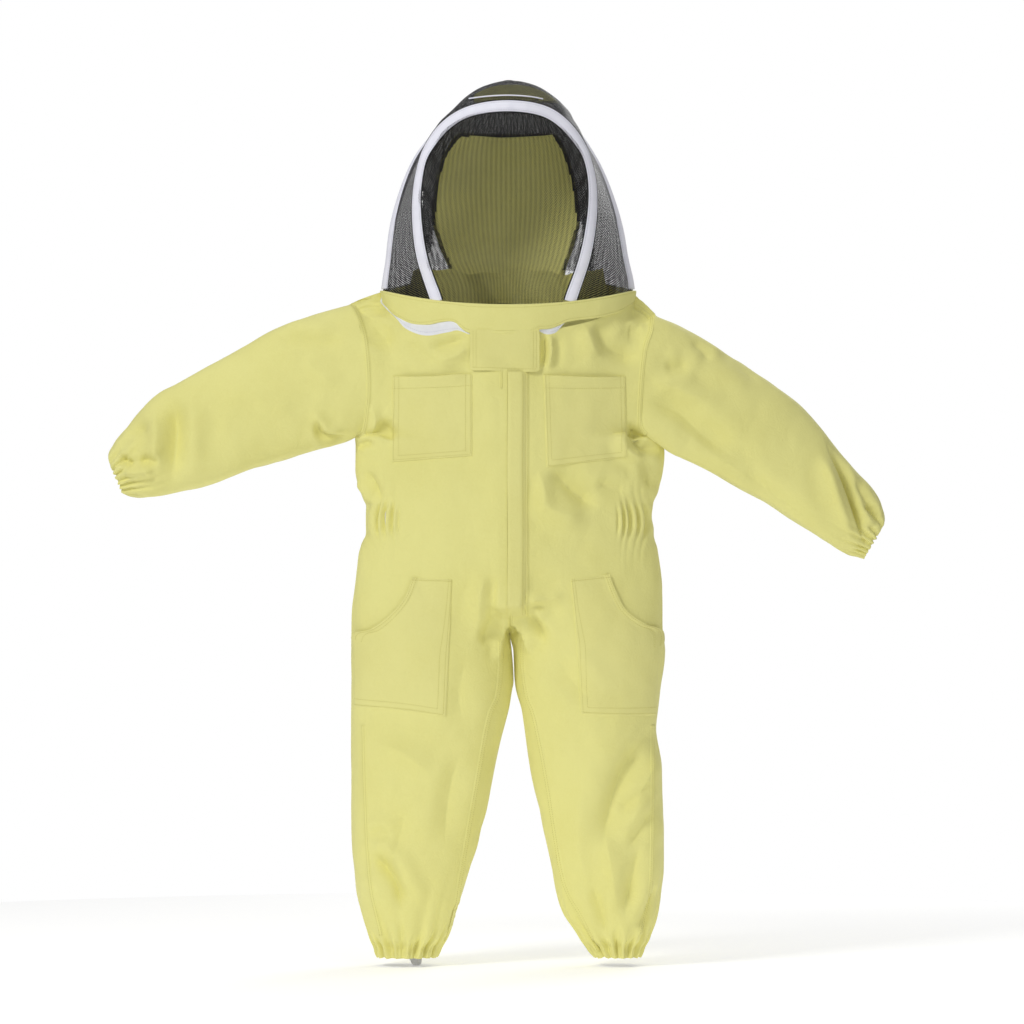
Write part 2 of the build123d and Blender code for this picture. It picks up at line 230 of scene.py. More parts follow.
def noise(tree, coords, scale, detail, **more):
    return add(tree, "TexNoise", "Fac", {"Scale": scale, "Detail": detail, "Vector": coords, **more})


def bump(tree, height, strength, distance, **more):
    return add(tree, "Bump", "Normal", {"Strength": strength, "Distance": distance, "Height": height, **more})


def new_material(name, base, roughness, sheen=0.0):
    mat = bpy.data.materials.new(name)
    mat.use_nodes = True
    shader = mat.node_tree.nodes["Principled BSDF"]
    fill(shader, {"Base Color": (*base, 1), "Roughness": roughness, "Sheen Weight": sheen,
                  "Specular IOR Level": 0.25})
    return mat, mat.node_tree, shader


def plain(name, base, roughness):
    return new_material(name, base, roughness)[0]


def ramp(tree, source, dark_at, dark, light_at, light):
    node = tree.nodes.new("ShaderNodeValToRGB")
    for element, at, colour in zip(node.color_ramp.elements, (dark_at, light_at), (dark, light)):
        element.position = at
        element.color = (*colour, 1)
    fill(node, {"Fac": source})
    return node.outputs["Color"]


def weave_height(tree, coords, pitch, angle=0.0):
    """Crossing threads: two sets of fine waves, over and under each other."""
    turned = add(tree, "Mapping", "Vector", {"Rotation": (0, angle, 0), "Vector": coords})
    waves = [add(tree, "TexWave", "Fac", {"Scale": math.pi / (20 * pitch), "Distortion": 0.6, "Detail": 1,
                                          "Detail Scale": 0.4, "Vector": turned},
                 wave_type="BANDS", bands_direction=axis, wave_profile="SIN") for axis in ("X", "Z")]
    return arithmetic(tree, "MAXIMUM", *waves)


def cotton(name, light, dark, crinkle=0.35):
    mat, tree, shader = new_material(name, light, 0.82, 0.12)
    coords = add(tree, "TexCoord", "Object", {})
    patches = noise(tree, coords, 9, 5, Roughness=0.55)
    slubs = noise(tree, coords, 420, 3)
    weave = weave_height(tree, coords, THREAD_PITCH)
    # the weave's hollows are painted darker, painted shade between the threads; the slubs and patches are the cloth's
    # own uneven tone
    shade = arithmetic(tree, "MULTIPLY_ADD", weave, 0.18, arithmetic(tree, "MULTIPLY_ADD", slubs, 0.45, patches))
    creases = noise(tree, coords, 38, 6, Roughness=0.6, Distortion=0.8)
    crumple = bump(tree, creases, crinkle, 0.004)
    fill(shader, {"Sheen Roughness": 0.5, "Base Color": ramp(tree, shade, 0.45, dark, 0.95, light),
                  "Normal": bump(tree, weave, 0.35, 0.0002, Normal=crumple)})
    return mat


def netting(name, pitch, thread, bunching):
    """Diamond net: what isn't thread lets the light through. Reads the sheet's own UV, in metres."""
    mat, tree, shader = new_material(name, (0.018, 0.018, 0.02), 0.55)
    uv = add(tree, "UVMap", "UV", {}, uv_map="UVMap")
    gathers = add(tree, "TexWave", "Fac", {"Scale": 2 * math.pi / (20 * GATHER_SPACING), "Distortion": 0.4,
                                           "Detail": 1, "Vector": uv}, wave_type="BANDS", bands_direction="X")
    share = arithmetic(tree, "MULTIPLY_ADD", gathers, 2 * bunching * thread / pitch, (1 - bunching) * thread / pitch)
    threads = []
    for angle in (NET_ANGLE, -NET_ANGLE):
        turned = add(tree, "Mapping", "Vector", {"Rotation": (0, 0, angle), "Scale": (1 / pitch, 1 / pitch, 1),
                                                 "Vector": uv})
        along = add(tree, "SeparateXYZ", "X", {"Vector": turned})
        threads.append(arithmetic(tree, "LESS_THAN", arithmetic(tree, "FRACT", along), share))
    fill(shader, {"Alpha": arithmetic(tree, "MAXIMUM", *threads)})
    return mat


def tape(name, light, dark):
    mat, tree, shader = new_material(name, light, 0.7, 0.1)
    coords = add(tree, "TexCoord", "Object", {})
    weave = weave_height(tree, coords, 0.0009, 0.5)
    # the weave's hollows are painted darker, painted shade between the threads; the noise is the tape's own uneven tone
    shade = arithmetic(tree, "MULTIPLY_ADD", weave, 0.3, noise(tree, coords, 60, 4))
    fill(shader, {"Base Color": ramp(tree, shade, 0.35, dark, 0.8, light), "Normal": bump(tree, weave, 0.5, 0.0003)})
    return mat


def hard(name, light, dark, roughness, metallic=0.0):
    mat, tree, shader = new_material(name, light, roughness)
    grain = noise(tree, add(tree, "TexCoord", "Object", {}), 300, 4)
    fill(shader, {"Metallic": metallic, "Specular IOR Level": 0.5,
                  "Base Color": ramp(tree, grain, 0.35, dark, 0.6, light), "Normal": bump(tree, grain, 0.15, 0.0002)})
    return mat


cotton_mat = cotton("suit_cotton", (0.80, 0.765, 0.288), (0.75, 0.71, 0.245))
patch_mat = cotton("pocket_cotton", (0.785, 0.748, 0.288), (0.735, 0.693, 0.245), crinkle=0.25)
# the hood's cloth is the suit's cotton painted lighter, to make up for the shade inside the hood behind the nets:
# painted light
lightened_hood_cotton_mat = cotton("hood_cotton_painted_lighter", (0.86, 0.82, 0.30), (0.80, 0.76, 0.25))
stitch_mat = plain("stitch_thread", (0.60, 0.555, 0.17), 0.6)
white_stitch_mat = plain("white_stitch_thread", (0.62, 0.62, 0.68), 0.6)
binding_mat = tape("white_binding", (0.88, 0.88, 0.96), (0.79, 0.79, 0.88))
tape_mat = tape("white_zip_tape", (0.85, 0.86, 0.88), (0.74, 0.75, 0.78))
elastic_mat = tape("white_elastic", (0.88, 0.88, 0.90), (0.76, 0.76, 0.79))
net_mat = netting("black_net", 0.0022, 0.00032, 0.5)
dense_net_mat = netting("black_net_doubled", 0.0019, 0.00112, 0.1)
crown_net_mat = netting("black_net_crown", 0.0019, 0.00080, 0.2)
# a near-opaque net: partly the second layer of net, and made denser as painted shade inside the hood's crown
shade_net_mat = netting("black_net_with_painted_shade", 0.0019, 0.00150, 0.05)
edge_mat = plain("net_edge", (0.02, 0.02, 0.022), 0.7)
plastic_mat = hard("zip_plastic", (0.72, 0.73, 0.74), (0.62, 0.63, 0.65), 0.4)
metal_mat = hard("zip_enamel", (0.72, 0.73, 0.75), (0.58, 0.59, 0.62), 0.3, 0.2)


def wear(obj, mat):
    obj.data.materials.clear()
    obj.data.materials.append(mat)
    return obj


# ------------------------------------------------------------------ the garment's outline, in millimetres
CENTRE_X = 2.5
# (height, half width side) of the trunk and leg outside, right then left of the wearer
right_side = mono(*zip((-200, 222.5), (-219, 221.9), (-248, 221.9), (-277, 214.8), (-307, 205.2), (-336, 205.5),
                       (-365, 216), (-394, 220.5), (-423, 223.6), (-453, 227.2), (-511, 228), (-600, 228),
                       (-700, 228), (-803, 226.5), (-832, 223.5), (-861, 221), (-891, 214), (-920, 204.5),
                       (-949, 195.6), (-961, 190)))
left_side = mono(*zip((-200, 226), (-219, 227.4), (-248, 224.8), (-277, 219.5), (-307, 209), (-336, 210.4),
                      (-365, 217.5), (-394, 221.9), (-423, 224.8), (-480, 225.5), (-511, 229), (-569, 221.9),
                      (-600, 218.5), (-628, 216.3), (-657, 220.5), (-686, 223.4), (-715, 225), (-774, 226.3),
                      (-832, 226.3), (-861, 223.4), (-891, 219), (-920, 210.5), (-949, 199), (-961, 193)))
right_inner = mono(*zip((-400, -2.5), (-487, -2.5), (-511, -5), (-559, -7.6), (-569, -5.5), (-599, 0), (-628, 7.3),
                        (-657, 15), (-686, 20.8), (-715, 26), (-745, 32), (-774, 40.9), (-803, 48.2), (-832, 56.9),
                        (-861, 65.7), (-891, 75.9), (-920, 84.7), (-949, 99.3), (-961, 105)))
left_inner = mono(*zip((-400, 2.5), (-487, 2.5), (-511, 8), (-559, 10.5), (-569, 12), (-599, 20.4), (-628, 24.8),
                       (-657, 29), (-686, 33.6), (-715, 39.4), (-745, 46.7), (-774, 52.6), (-803, 59.9),
                       (-832, 65.7), (-861, 70.1), (-891, 78.8), (-920, 97.8), (-949, 116.8), (-961, 128)))
right_armhole = [(-230.7, -5.1), (-219, -29), (-210.2, -58.4), (-206, -95), (-205, -131), (-207.3, -160.6),
                 (-211.5, -187), (-222.5, -200)]
left_armhole = [(215.5, -22.0), (210.2, -48.2), (203, -68.6), (198.6, -96.4), (195.6, -134.3), (194.2, -170),
                (196, -188), (206, -197), (226, -200)]
right_sleeve_top = [(-230.7, -5.1), (-262, -13.5), (-297.8, -24.5), (-349.5, -45.3), (-401.6, -75.3),
                    (-443.8, -97.5), (-485.2, -121), (-508.7, -133), (-532, -154), (-558, -186),
                    (-576.7, -210), (-583.5, -227), (-579, -242.4)]
right_sleeve_low = [(-222.5, -200), (-240, -209), (-271.6, -217.5), (-323.5, -233), (-375.7, -248.8),
                    (-427.8, -268.4), (-474.6, -280), (-506, -287), (-532, -288.6), (-550, -287), (-562, -282.7)]
left_sleeve_top = [(215.5, -22.0), (244.8, -33.6), (284, -54.5), (323, -79.3), (362, -103.7), (401.4, -131.4),
                   (427.3, -152.3), (453.5, -181), (479.5, -214.6), (505.6, -246), (531.4, -274.5),
                   (544.6, -297.8), (549.8, -321), (542, -337)]
left_sleeve_low = [(226, -200), (238, -214), (257.8, -230.5), (297, -251), (335.8, -274.5), (375, -295.7),
                   (414.3, -321.8), (453.5, -347.5), (479.5, -363.5), (502, -373.5), (519.8, -376.7)]
neck_front = [(0, -49.5), (55, -46), (100, -38), (140, -26), (168, -11), (182, 6)]
neck_back = [(0, 38), (60, 36), (110, 31), (150, 23), (174, 14), (182, 6)]

TRUNK_DEPTH = 77.0  # half the trunk's depth
CHEST_WIDTH = 236.0  # half the chest's width
NECK_WIDTH = 182.0  # half the neck's width
leg_depth = mono(*zip((-487, 67), (-570, 64), (-657, 62), (-745, 58), (-832, 54), (-890, 48), (-930, 42),
                      (-950, 36), (-961, 35)))
sleeve_depth = mono(*zip((0, 51), (0.25, 49), (0.5, 46), (0.7, 41), (0.84, 34), (0.94, 24), (1.0, 18)))
ARMPIT_Z = -200.0
CROTCH_Z = -487.0
HEM_Z = -959.0
SPLIT_Z = -462.0  # the trunk piece ends here and the two leg pieces start


def trunk_depth_at(x, z, side):
    """Half the suit's depth at a point of the outline, in millimetres, before folds."""
    outer = np.where(z > ARMPIT_Z, CHEST_WIDTH, (right_side if side < 0 else left_side)(z))
    wide = np.clip((x - CENTRE_X) * side / (outer - CENTRE_X * side), 0, 1)
    trunk = TRUNK_DEPTH ** 2 * (1 - wide ** 2)
    inner = np.where(z > CROTCH_Z, CENTRE_X * side, (right_inner if side < 0 else left_inner)(z))
    middle, half = (inner + outer) / 2, (outer - inner) / 2
    leg = leg_depth(z) ** 2 * np.clip(1 - ((x * side - middle) / half) ** 2, 0, 1)
    blend = (smooth(-440, CROTCH_Z - 1, z) * np.exp(-(x / 55) ** 2)
             + smooth(-385, CROTCH_Z - 1, z) * (1 - np.exp(-(x / 55) ** 2)))
    return np.sqrt(np.clip((1 - blend) * trunk + blend * leg, 0, None))


def half_suit(side, back):
    """One quarter of the coverall: the trunk and leg on one side, front or back. Rows run upward."""
    outer_side = right_side if side < 0 else left_side
    inner_side = right_inner if side < 0 else left_inner
    cols = 81
    u = cosine(cols)
    leg_rows = np.linspace(HEM_Z, ARMPIT_Z, 156)
    x_out = side * outer_side(leg_rows)
    x_in = np.where(leg_rows > CROTCH_Z, CENTRE_X, side * inner_side(leg_rows))
    x_low = x_in[:, None] + (x_out - x_in)[:, None] * u[None]
    z_low = np.repeat(leg_rows[:, None], cols, axis=1)
    y_low = trunk_depth_at(x_low, z_low, side)
    # the chest, between the armpit and the neck
    armhole = np.array(right_armhole if side < 0 else left_armhole)[::-1]
    neck = np.array(neck_back if back else neck_front) * (side, 1)
    neck[:, 0] = np.where(neck[:, 0] == 0, CENTRE_X, neck[:, 0])
    shoulder = np.array([armhole[-1], (armhole[-1] + neck[-1]) / 2 + (0, 1.5), neck[-1]])
    rows_arm, rows_top = 40, 12
    right = np.vstack([path(armhole, rows_arm), path(shoulder, rows_top)[1:]])
    rows = len(right)
    v = np.linspace(0, 1, rows)
    left = np.stack([np.full(rows, CENTRE_X), ARMPIT_Z + (neck[0][1] - ARMPIT_Z) * v], axis=1)
    bottom = np.stack([x_low[-1], z_low[-1]], axis=1)
    top = path(neck, cols, u)
    upper = coons(bottom, top, left, right, u, v)
    x_up, z_up = upper[..., 0], upper[..., 1]
    tau = 1 - np.arange(rows_arm) / (rows_arm - 1)
    bound = np.concatenate([2 * sleeve_depth(0) * np.sqrt(np.clip(tau * (1 - tau), 0, 1)), np.zeros(rows_top - 1)])
    formula = trunk_depth_at(x_up, z_up, side)
    past_neck = np.abs(x_up) - NECK_WIDTH
    shoulder_line = 6 + np.clip(-past_neck, 0, None) * 0.9 - np.clip(past_neck, 0, None) * 0.3
    below = np.clip((shoulder_line - z_up) / 85, 0, 1)
    formula = formula * np.sqrt(1 - (1 - below) ** 2.2)
    w = smooth(0.5, 1.0, u)[None]
    depth2 = (1 - w) * formula ** 2 + w * bound[:, None] ** 2
    rim = (80.0 if back else 79.5) * np.sqrt(np.clip(1 - (x_up / 182.2) ** 2, 0, 1))
    near = smooth(0.79, 1.0, v)[:, None]
    y_up = np.sqrt(np.clip((1 - near) * depth2 + near * rim ** 2, 0, None))
    x = np.vstack([x_low, x_up[1:]])
    z = np.vstack([z_low, z_up[1:]])
    y = np.vstack([y_low, y_up[1:]]) * (1 if back else -1)
    return np.stack([x, y, z], axis=-1) * MM


def half_sleeve(side, back):
    """The front or back of a sleeve. Rows run from the armhole to the wrist, columns from top to underside."""
    armhole = np.array(right_armhole if side < 0 else left_armhole)
    high = right_sleeve_top if side < 0 else left_sleeve_top
    low = right_sleeve_low if side < 0 else left_sleeve_low
    cols, rows = 40, 76
    v = np.linspace(0, 1, cols)
    u = 1 - (1 - np.linspace(0, 1, rows)) ** 1.15
    top, under = path(high, rows, u), path(low, rows, u)
    start, end = path(armhole, cols), path([high[-1], low[-1]], cols)
    sheet = coons(top, under, start, end, u, v).transpose(1, 0, 2)
    depth = 2 * sleeve_depth(u)[:, None] * np.sqrt(np.clip(v * (1 - v), 0, 1))[None]
    return np.stack([sheet[..., 0], depth * (1 if back else -1), sheet[..., 1]], axis=-1) * MM


# ------------------------------------------------------------------ the garment's surface
points, faces, tags = [], [], []
TRUNK, RIGHT_LEG, LEFT_LEG, RIGHT_ARM, LEFT_ARM = range(5)
for side in (-1, 1):
    for back in (False, True):
        flip = (side > 0) == back
        for sheet, is_sleeve in ((half_suit(side, back), False), (half_sleeve(side, back), True)):
            rows, cols = sheet.shape[:2]
            start = sum(len(p) for p in points)
            quads = grid_faces(rows, cols, start, flip=flip)
            middle_z = (sheet[:-1, :-1, 2] + sheet[1:, 1:, 2]).ravel() / 2
            if is_sleeve:
                tag = np.full(len(quads), LEFT_ARM if side > 0 else RIGHT_ARM)
            else:
                tag = np.where(middle_z > SPLIT_Z * MM, TRUNK, LEFT_LEG if side > 0 else RIGHT_LEG)
            points.append(sheet.reshape(-1, 3))
            faces.append(quads)
            tags.append(tag)
suit = mesh_object("suit_whole", np.vstack(points), np.vstack(faces))
region = suit.data.attributes.new("region", "INT", "FACE")
region.data.foreach_set("value", np.concatenate(tags).astype(np.int32))
work = bmesh.new()
work.from_mesh(suit.data)
bmesh.ops.remove_doubles(work, verts=work.verts, dist=2e-5)
bmesh.ops.dissolve_degenerate(work, edges=work.edges, dist=1e-6)
work.to_mesh(suit.data)
work.free()
suit.data.polygons.foreach_set("use_smooth", [True] * len(suit.data.polygons))
modified(suit, "SUBSURF", levels=1, render_levels=1, subdivision_type="CATMULL_CLARK")


# ------------------------------------------------------------------ folds
def along_line(x, z, line, count=40):
    """Signed distance to a line and the share of its length, for every point."""
    dots = path(line, count)
    best = np.full(x.shape, 1e9)
    where, side_of = np.zeros(x.shape), np.zeros(x.shape)
    for k in range(count - 1):
        a, b = dots[k], dots[k + 1]
        step = b - a
        t = np.clip(((x - a[0]) * step[0] + (z - a[1]) * step[1]) / (step @ step), 0, 1)
        dx, dz = x - a[0] - t * step[0], z - a[1] - t * step[1]
        dist = np.hypot(dx, dz)
        closer = dist < best
        best = np.where(closer, dist, best)
        where = np.where(closer, (k + t) / (count - 1), where)
        side_of = np.where(closer, np.sign(step[0] * dz - step[1] * dx), side_of)
    return best, where, side_of


# (line in millimetres, width, height: positive stands out and negative sinks in, lean if any)
FRONT_FOLDS = [
    ([(-118, -74), (-86, -66), (-58, -56)], 8, -3, 0.4), ([(-102, -92), (-76, -84), (-54, -68)], 9, 2.6),
    ([(-150, -60), (-120, -84), (-98, -93)], 12, -2.5), ([(-196, -38), (-176, -60), (-170, -84)], 12, -3),
    ([(-215, -20), (-190, -30), (-168, -26)], 9, 2.5), ([(-208, -60), (-186, -64), (-168, -56)], 8, -2),
    ([(51, -46), (54, -75), (50, -104)], 5, -3.6), ([(60, -50), (62, -78), (57, -104)], 7, 4),
    ([(128, -26), (142, -66), (170, -82), (196, -78)], 16, -5, 0.3), ([(108, -34), (120, -64), (132, -84)], 13, 3.5),
    ([(172, -30), (186, -40), (206, -46)], 10, 3), ([(60, -246), (84, -270), (104, -288), (134, -304)], 20, -7.5, 0.5),
    ([(40, -292), (70, -308), (110, -316)], 18, 4), ([(128, -262), (150, -276), (176, -280)], 14, -3.5),
    ([(44, -250), (52, -280), (50, -310)], 10, 3), ([(-210, -246), (-196, -270), (-186, -296)], 9, -4.5),
    ([(-222, -262), (-206, -282), (-198, -300)], 7, 3),
    ([(172, -178), (184, -202), (196, -216), (222, -218)], 10, -5.5, 0.4),
    ([(160, -196), (172, -220), (196, -232)], 11, 4.5), ([(192, -226), (204, -250), (206, -276)], 10, -4),
    ([(-192, -180), (-176, -190), (-166, -206)], 11, -4.5), ([(-222, -214), (-208, -208), (-196, -210)], 6, -4),
    ([(-200, -150), (-192, -172), (-196, -196)], 9, 3), ([(-14, -396), (-20, -430), (-26, -470)], 12, -5),
    ([(-34, -400), (-40, -440), (-44, -482)], 14, 3), ([(8, -444), (30, -448), (58, -446)], 8, -4.5),
    ([(12, -456), (36, -470), (54, -500)], 9, -5.5, 0.4), ([(20, -440), (52, -436), (84, -430)], 11, 3),
    ([(18, -466), (26, -490), (32, -520)], 8, 4), ([(-8, -456), (-26, -476), (-36, -506)], 9, -4),
    ([(-6, -470), (-12, -500), (-16, -530)], 6, 3.5), ([(2, -470), (12, -474), (20, -482)], 5, 3),
    ([(-12, -480), (-2, -474), (6, -474)], 5, 3), ([(70, -520), (96, -560), (120, -580)], 18, -3.5),
    ([(-60, -520), (-70, -570), (-66, -620)], 18, -3), ([(-70, -660), (-84, -720), (-92, -800)], 16, -3.5),
    ([(-196, -640), (-150, -660), (-110, -690)], 16, 3.5), ([(-150, -740), (-160, -790), (-172, -830)], 12, -3),
    ([(-200, -806), (-180, -826), (-164, -848), (-152, -888)], 15, -9, 0.5),
    ([(-178, -780), (-156, -830), (-140, -880)], 14, 4.5), ([(-204, -780), (-186, -776), (-170, -784)], 9, -3),
    ([(214, -617), (186, -660), (165, -692), (146, -750), (134, -810)], 24, -8, 0.4),
    ([(218, -660), (196, -706), (182, -750)], 14, 5), ([(206, -700), (180, -730), (160, -744)], 9, -4),
    ([(210, -740), (190, -776), (172, -800)], 12, -4.5), ([(140, -770), (150, -830), (158, -890)], 13, 4),
    ([(192, -790), (182, -840), (168, -900)], 13, -5), ([(216, -850), (206, -880), (190, -920)], 9, -5),
    ([(110, -700), (104, -780), (112, -850)], 16, 2.5), ([(120, -850), (134, -890), (146, -930)], 9, -4),
    # sleeves
    ([(-490, -140), (-483, -180), (-484, -220), (-488, -268)], 16, -8.5),
    ([(-512, -160), (-510, -200), (-514, -240)], 13, 4.5), ([(-462, -120), (-458, -170), (-462, -240)], 18, 3),
    ([(-560, -196), (-540, -188), (-520, -192)], 9, -3), ([(-566, -226), (-556, -236), (-544, -238)], 7, -6.5),
    ([(-538, -236), (-522, -234), (-508, -240)], 8, -5), ([(-558, -252), (-536, -252), (-514, -248)], 9, 4.5),
    ([(-278, -172), (-272, -196), (-252, -202), (-230, -200)], 6, -5.5),
    ([(-284, -160), (-266, -184), (-240, -190)], 8, 3), ([(-348, -55), (-290, -58), (-236, -60)], 12, -3),
    ([(-330, -40), (-280, -44), (-240, -40)], 11, 2.5), ([(-300, -84), (-270, -110), (-250, -130)], 16, 2.5),
    ([(-400, -120), (-350, -150), (-300, -156)], 24, 2),
    ([(198, -147), (245, -165), (283, -201), (330, -232)], 22, -6.5, 0.3),
    ([(206, -120), (240, -128), (290, -150)], 14, 3.5), ([(226, -98), (246, -98), (262, -90)], 11, -3.5),
    ([(266, -60), (284, -72), (296, -92)], 10, -3.5), ([(300, -72), (340, -98), (376, -126)], 14, -3),
    ([(250, -186), (300, -226), (360, -262)], 14, 3), ([(330, -240), (390, -290), (440, -320)], 14, -3.5),
    ([(466, -216), (484, -256), (500, -300), (517, -352)], 8, -12, 0.9),
    ([(452, -226), (470, -270), (486, -320)], 12, 3.5), ([(504, -258), (520, -290), (532, -320)], 8, -4),
    ([(518, -300), (528, -306), (540, -322)], 5, -4),
]
BACK_FOLDS = [
    ([(-40, -20), (-60, -110), (-50, -200)], 26, -4), ([(50, -30), (70, -120), (60, -210)], 26, -4),
    ([(-190, -190), (-130, -230), (-60, -240)], 16, -5), ([(190, -190), (130, -235), (60, -244)], 16, -5),
    ([(-150, -300), (-100, -320), (-40, -318)], 14, -4), ([(150, -300), (100, -322), (40, -320)], 14, -4),
    ([(0, -360), (4, -420), (0, -480)], 18, -5), ([(-20, -450), (-70, -480), (-130, -490)], 14, -6, 0.3),
    ([(20, -450), (70, -484), (130, -492)], 14, -6, 0.3), ([(-60, -500), (-120, -530), (-180, -532)], 12, 4),
    ([(60, -500), (120, -530), (180, -532)], 12, 4), ([(-180, -690), (-130, -720), (-80, -722)], 14, -6),
    ([(180, -690), (130, -724), (80, -726)], 14, -6), ([(-190, -730), (-140, -756), (-90, -760)], 13, 4),
    ([(190, -730), (140, -760), (90, -764)], 13, 4), ([(-160, -800), (-130, -860), (-140, -910)], 14, -6),
    ([(160, -800), (130, -860), (140, -910)], 14, -6), ([(-250, -120), (-300, -150), (-340, -190)], 16, -5),
    ([(250, -130), (300, -170), (330, -210)], 16, -5), ([(-430, -130), (-420, -190), (-440, -250)], 14, -5),
    ([(430, -190), (410, -250), (400, -300)], 14, -5),
]

base, outward = vertex_values(suit.data, "co"), vertex_values(suit.data, "normal")
X, Y, Z = (base / MM).T
front = 1 - smooth(-10, 10, Y)  # 1 in front, 0 behind
push = np.zeros(len(base))
for folds, share, depth in ((FRONT_FOLDS, front, 1.6), (BACK_FOLDS, 1 - front, 1.9)):
    for line, width, height, *lean in folds:
        low, high = np.min(line, axis=0) - 3.5 * width, np.max(line, axis=0) + 3.5 * width
        near = np.where((X > low[0]) & (X < high[0]) & (Z > low[1]) & (Z < high[1]) & (share > 0.01))[0]
        dist, run, hand = along_line(X[near], Z[near], line)
        ends = smooth(-0.02, 0.3, run) * (1 - smooth(0.7, 1.02, run)) + 0.06
        spread = np.maximum(width * (1 + lean[0] * hand) if lean else width, 1.5)
        bell = 0.62 * np.exp(-(dist / spread) ** 2) + 0.38 * np.exp(-dist / (0.42 * spread))
        rest = 0.35 * np.exp(-((dist - 1.8 * width) / width) ** 2)  # cloth pushed up beside the fold
        push[near] += depth * share[near] * ends * height * (bell - rest)

# soft hang of the cloth everywhere, stronger behind
hang = noise_field(14, 190, 60, 11, (1, 2.2))
ripple = noise_field(16, 60, 22, 12, (1, 1.5))
push += (0.9 + 0.9 * (1 - front)) * hang(X + 400 * (1 - front), Z) + 0.32 * ripple(X, Z + 300 * (1 - front))


def pleats(phase, seed):
    """Rounded ridges with sharp valleys between them, of uneven width."""
    local = np.random.default_rng(seed)
    warped = phase + 0.45 * np.sin(phase * 0.37 + local.uniform(0, 6))
    warped += 0.3 * np.sin(phase * 0.71 + local.uniform(0, 6))
    return 0.6 - np.abs(np.cos(warped / 2)) ** 3 * 1.6


GATHERS = 17  # round each wrist and ankle

# waist elastics: short upright gathers at both sides
for side in (-1, 1):
    at_side = smooth(154, 166, X * side)
    core = np.exp(-((Z + 320) / 21) ** 4)
    tails = np.exp(-((Z + 322) / 46) ** 2) * 0.5
    phase = 2 * math.pi * (np.abs(X) * 0.95 + np.abs(Y) * 0.35 + 1.5 * np.sin(Z / 16)) / 7.6
    push += at_side * (core * 4.4 + tails * 2.2) * pleats(phase, 5 + side) * (np.abs(X) < 260)

# ankles
for side in (-1, 1):
    inner = (right_inner if side < 0 else left_inner)(Z)
    outer = (right_side if side < 0 else left_side)(Z)
    angle = np.arctan2(Y / 36, (X * side - (inner + outer) / 2) / ((outer - inner) / 2))
    up = Z - HEM_Z
    phase = GATHERS * angle + 0.7 * side
    own = 38 + 26 * np.sin(angle * 5 + 1.3 * side) * np.sin(angle * 2.3)
    strength = 4.7 * np.exp(-(np.clip(up - 16, 0, None) / own) ** 1.4) * (1 - 0.35 * np.exp(-(up / 5) ** 2))
    pinch = -3.2 * np.exp(-((up - 15) / 7.5) ** 2)
    fine = 2.8 * np.exp(-((up - 13) / 14) ** 2) * pleats(2.15 * phase, 24 + side)
    push += np.where((X * side > 20) & (Z < -700), strength * pleats(phase, 20 + side) + pinch + fine, 0)

# wrists
for side, high, low in ((-1, right_sleeve_top, right_sleeve_low), (1, left_sleeve_top, left_sleeve_low)):
    end = (np.array(high[-1]) + np.array(low[-1])) / 2
    across = unit(np.array(low[-1], float) - high[-1])
    inward = np.array([-across[1], across[0]])
    if inward @ (np.array([0, -120]) - end) < 0:
        inward = -inward
    up = (X - end[0]) * inward[0] + (Z - end[1]) * inward[1]
    over = (X - end[0]) * across[0] + (Z - end[1]) * across[1]
    angle = np.arctan2(Y / 18, over / 22)
    own = 20 + 14 * np.sin(angle * 4 + side)
    strength = 3.0 * np.exp(-(np.clip(up - 12, 0, None) / np.maximum(own, 6)) ** 1.3)
    pinch = -2.0 * np.exp(-((up - 12) / 6) ** 2)
    push += np.where(X * side > 400, strength * pleats(GATHERS * angle, 30 + side) + pinch, 0)

# the strip under the zip cover and the neck seam stay flat
flat = (1 - smooth(16, 34, np.abs(X - 6))) * front * smooth(-470, -440, Z)
push *= 1 - flat
rim_z = np.interp(np.abs(X), [p[0] for p in neck_front], [p[1] for p in neck_front])
push *= 1 - 0.85 * np.exp(-(np.clip(rim_z - Z, 0, None) / 9) ** 2) * (np.abs(X) < 184)
covered = front * smooth(-458, -444, Z) * smooth(-98, -108, Z)
channel = np.exp(-((X - 4.6) / 3.9) ** 6) * smooth(-447, -437, Z) * front
push += covered * (4.6 * smooth(-60, -12, X) * smooth(3.4, 0.6, X) + 3.4 * smooth(44, 14, X) * smooth(6, 10, X))
under_flap = front * smooth(-62, -46, X) * smooth(54, 38, X) * smooth(-128, -108, Z) * smooth(-44, -54, Z)
push = (push + under_flap * (1 - covered) * 4.0) * (1 - channel) - 2.3 * channel
# folds fade where the surface turns edge-on, so the outline stays
push *= 0.35 + 0.65 * smooth(0.05, 0.5, np.abs(outward[:, 1]))
suit_points = base + outward * (push * MM)[:, None]
suit.data.vertices.foreach_set("co", suit_points.ravel())
suit.data.update()
suit_normals = vertex_values(suit.data, "normal")
tree = BVHTree.FromPolygons([tuple(p) for p in suit_points], [tuple(p.vertices) for p in suit.data.polygons])


def on_suit(x, z, back=False):
    """The point of the garment's front, or back, that (x, z) lies over, and the normal there. Metres."""
    ahead = -1 if back else 1
    hit = tree.ray_cast(Vector((x, -0.35 * ahead, z)), Vector((0, ahead, 0)), 0.6)
    if hit[0] is None:
        hit = tree.find_nearest(Vector((x, -0.02 * ahead, z)))
    normal = hit[1] if hit[1].y * ahead < 0 else -hit[1]
    return np.array(hit[0]), np.array(normal)


def wear(obj, mat):
    obj.data.materials.clear()
    obj.data.materials.append(mat)
    return obj


def placed(piece, body, slot, *replaced, bends=False):
    """Gives a piece its body, or with bends only bakes its place into its mesh, and hides the CAD pieces that it stands
    for. The slot is not used.
    """
    if bends:
        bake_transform(piece)
    else:
        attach(piece, body)
    if replaced:
        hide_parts(*replaced)
    return piece


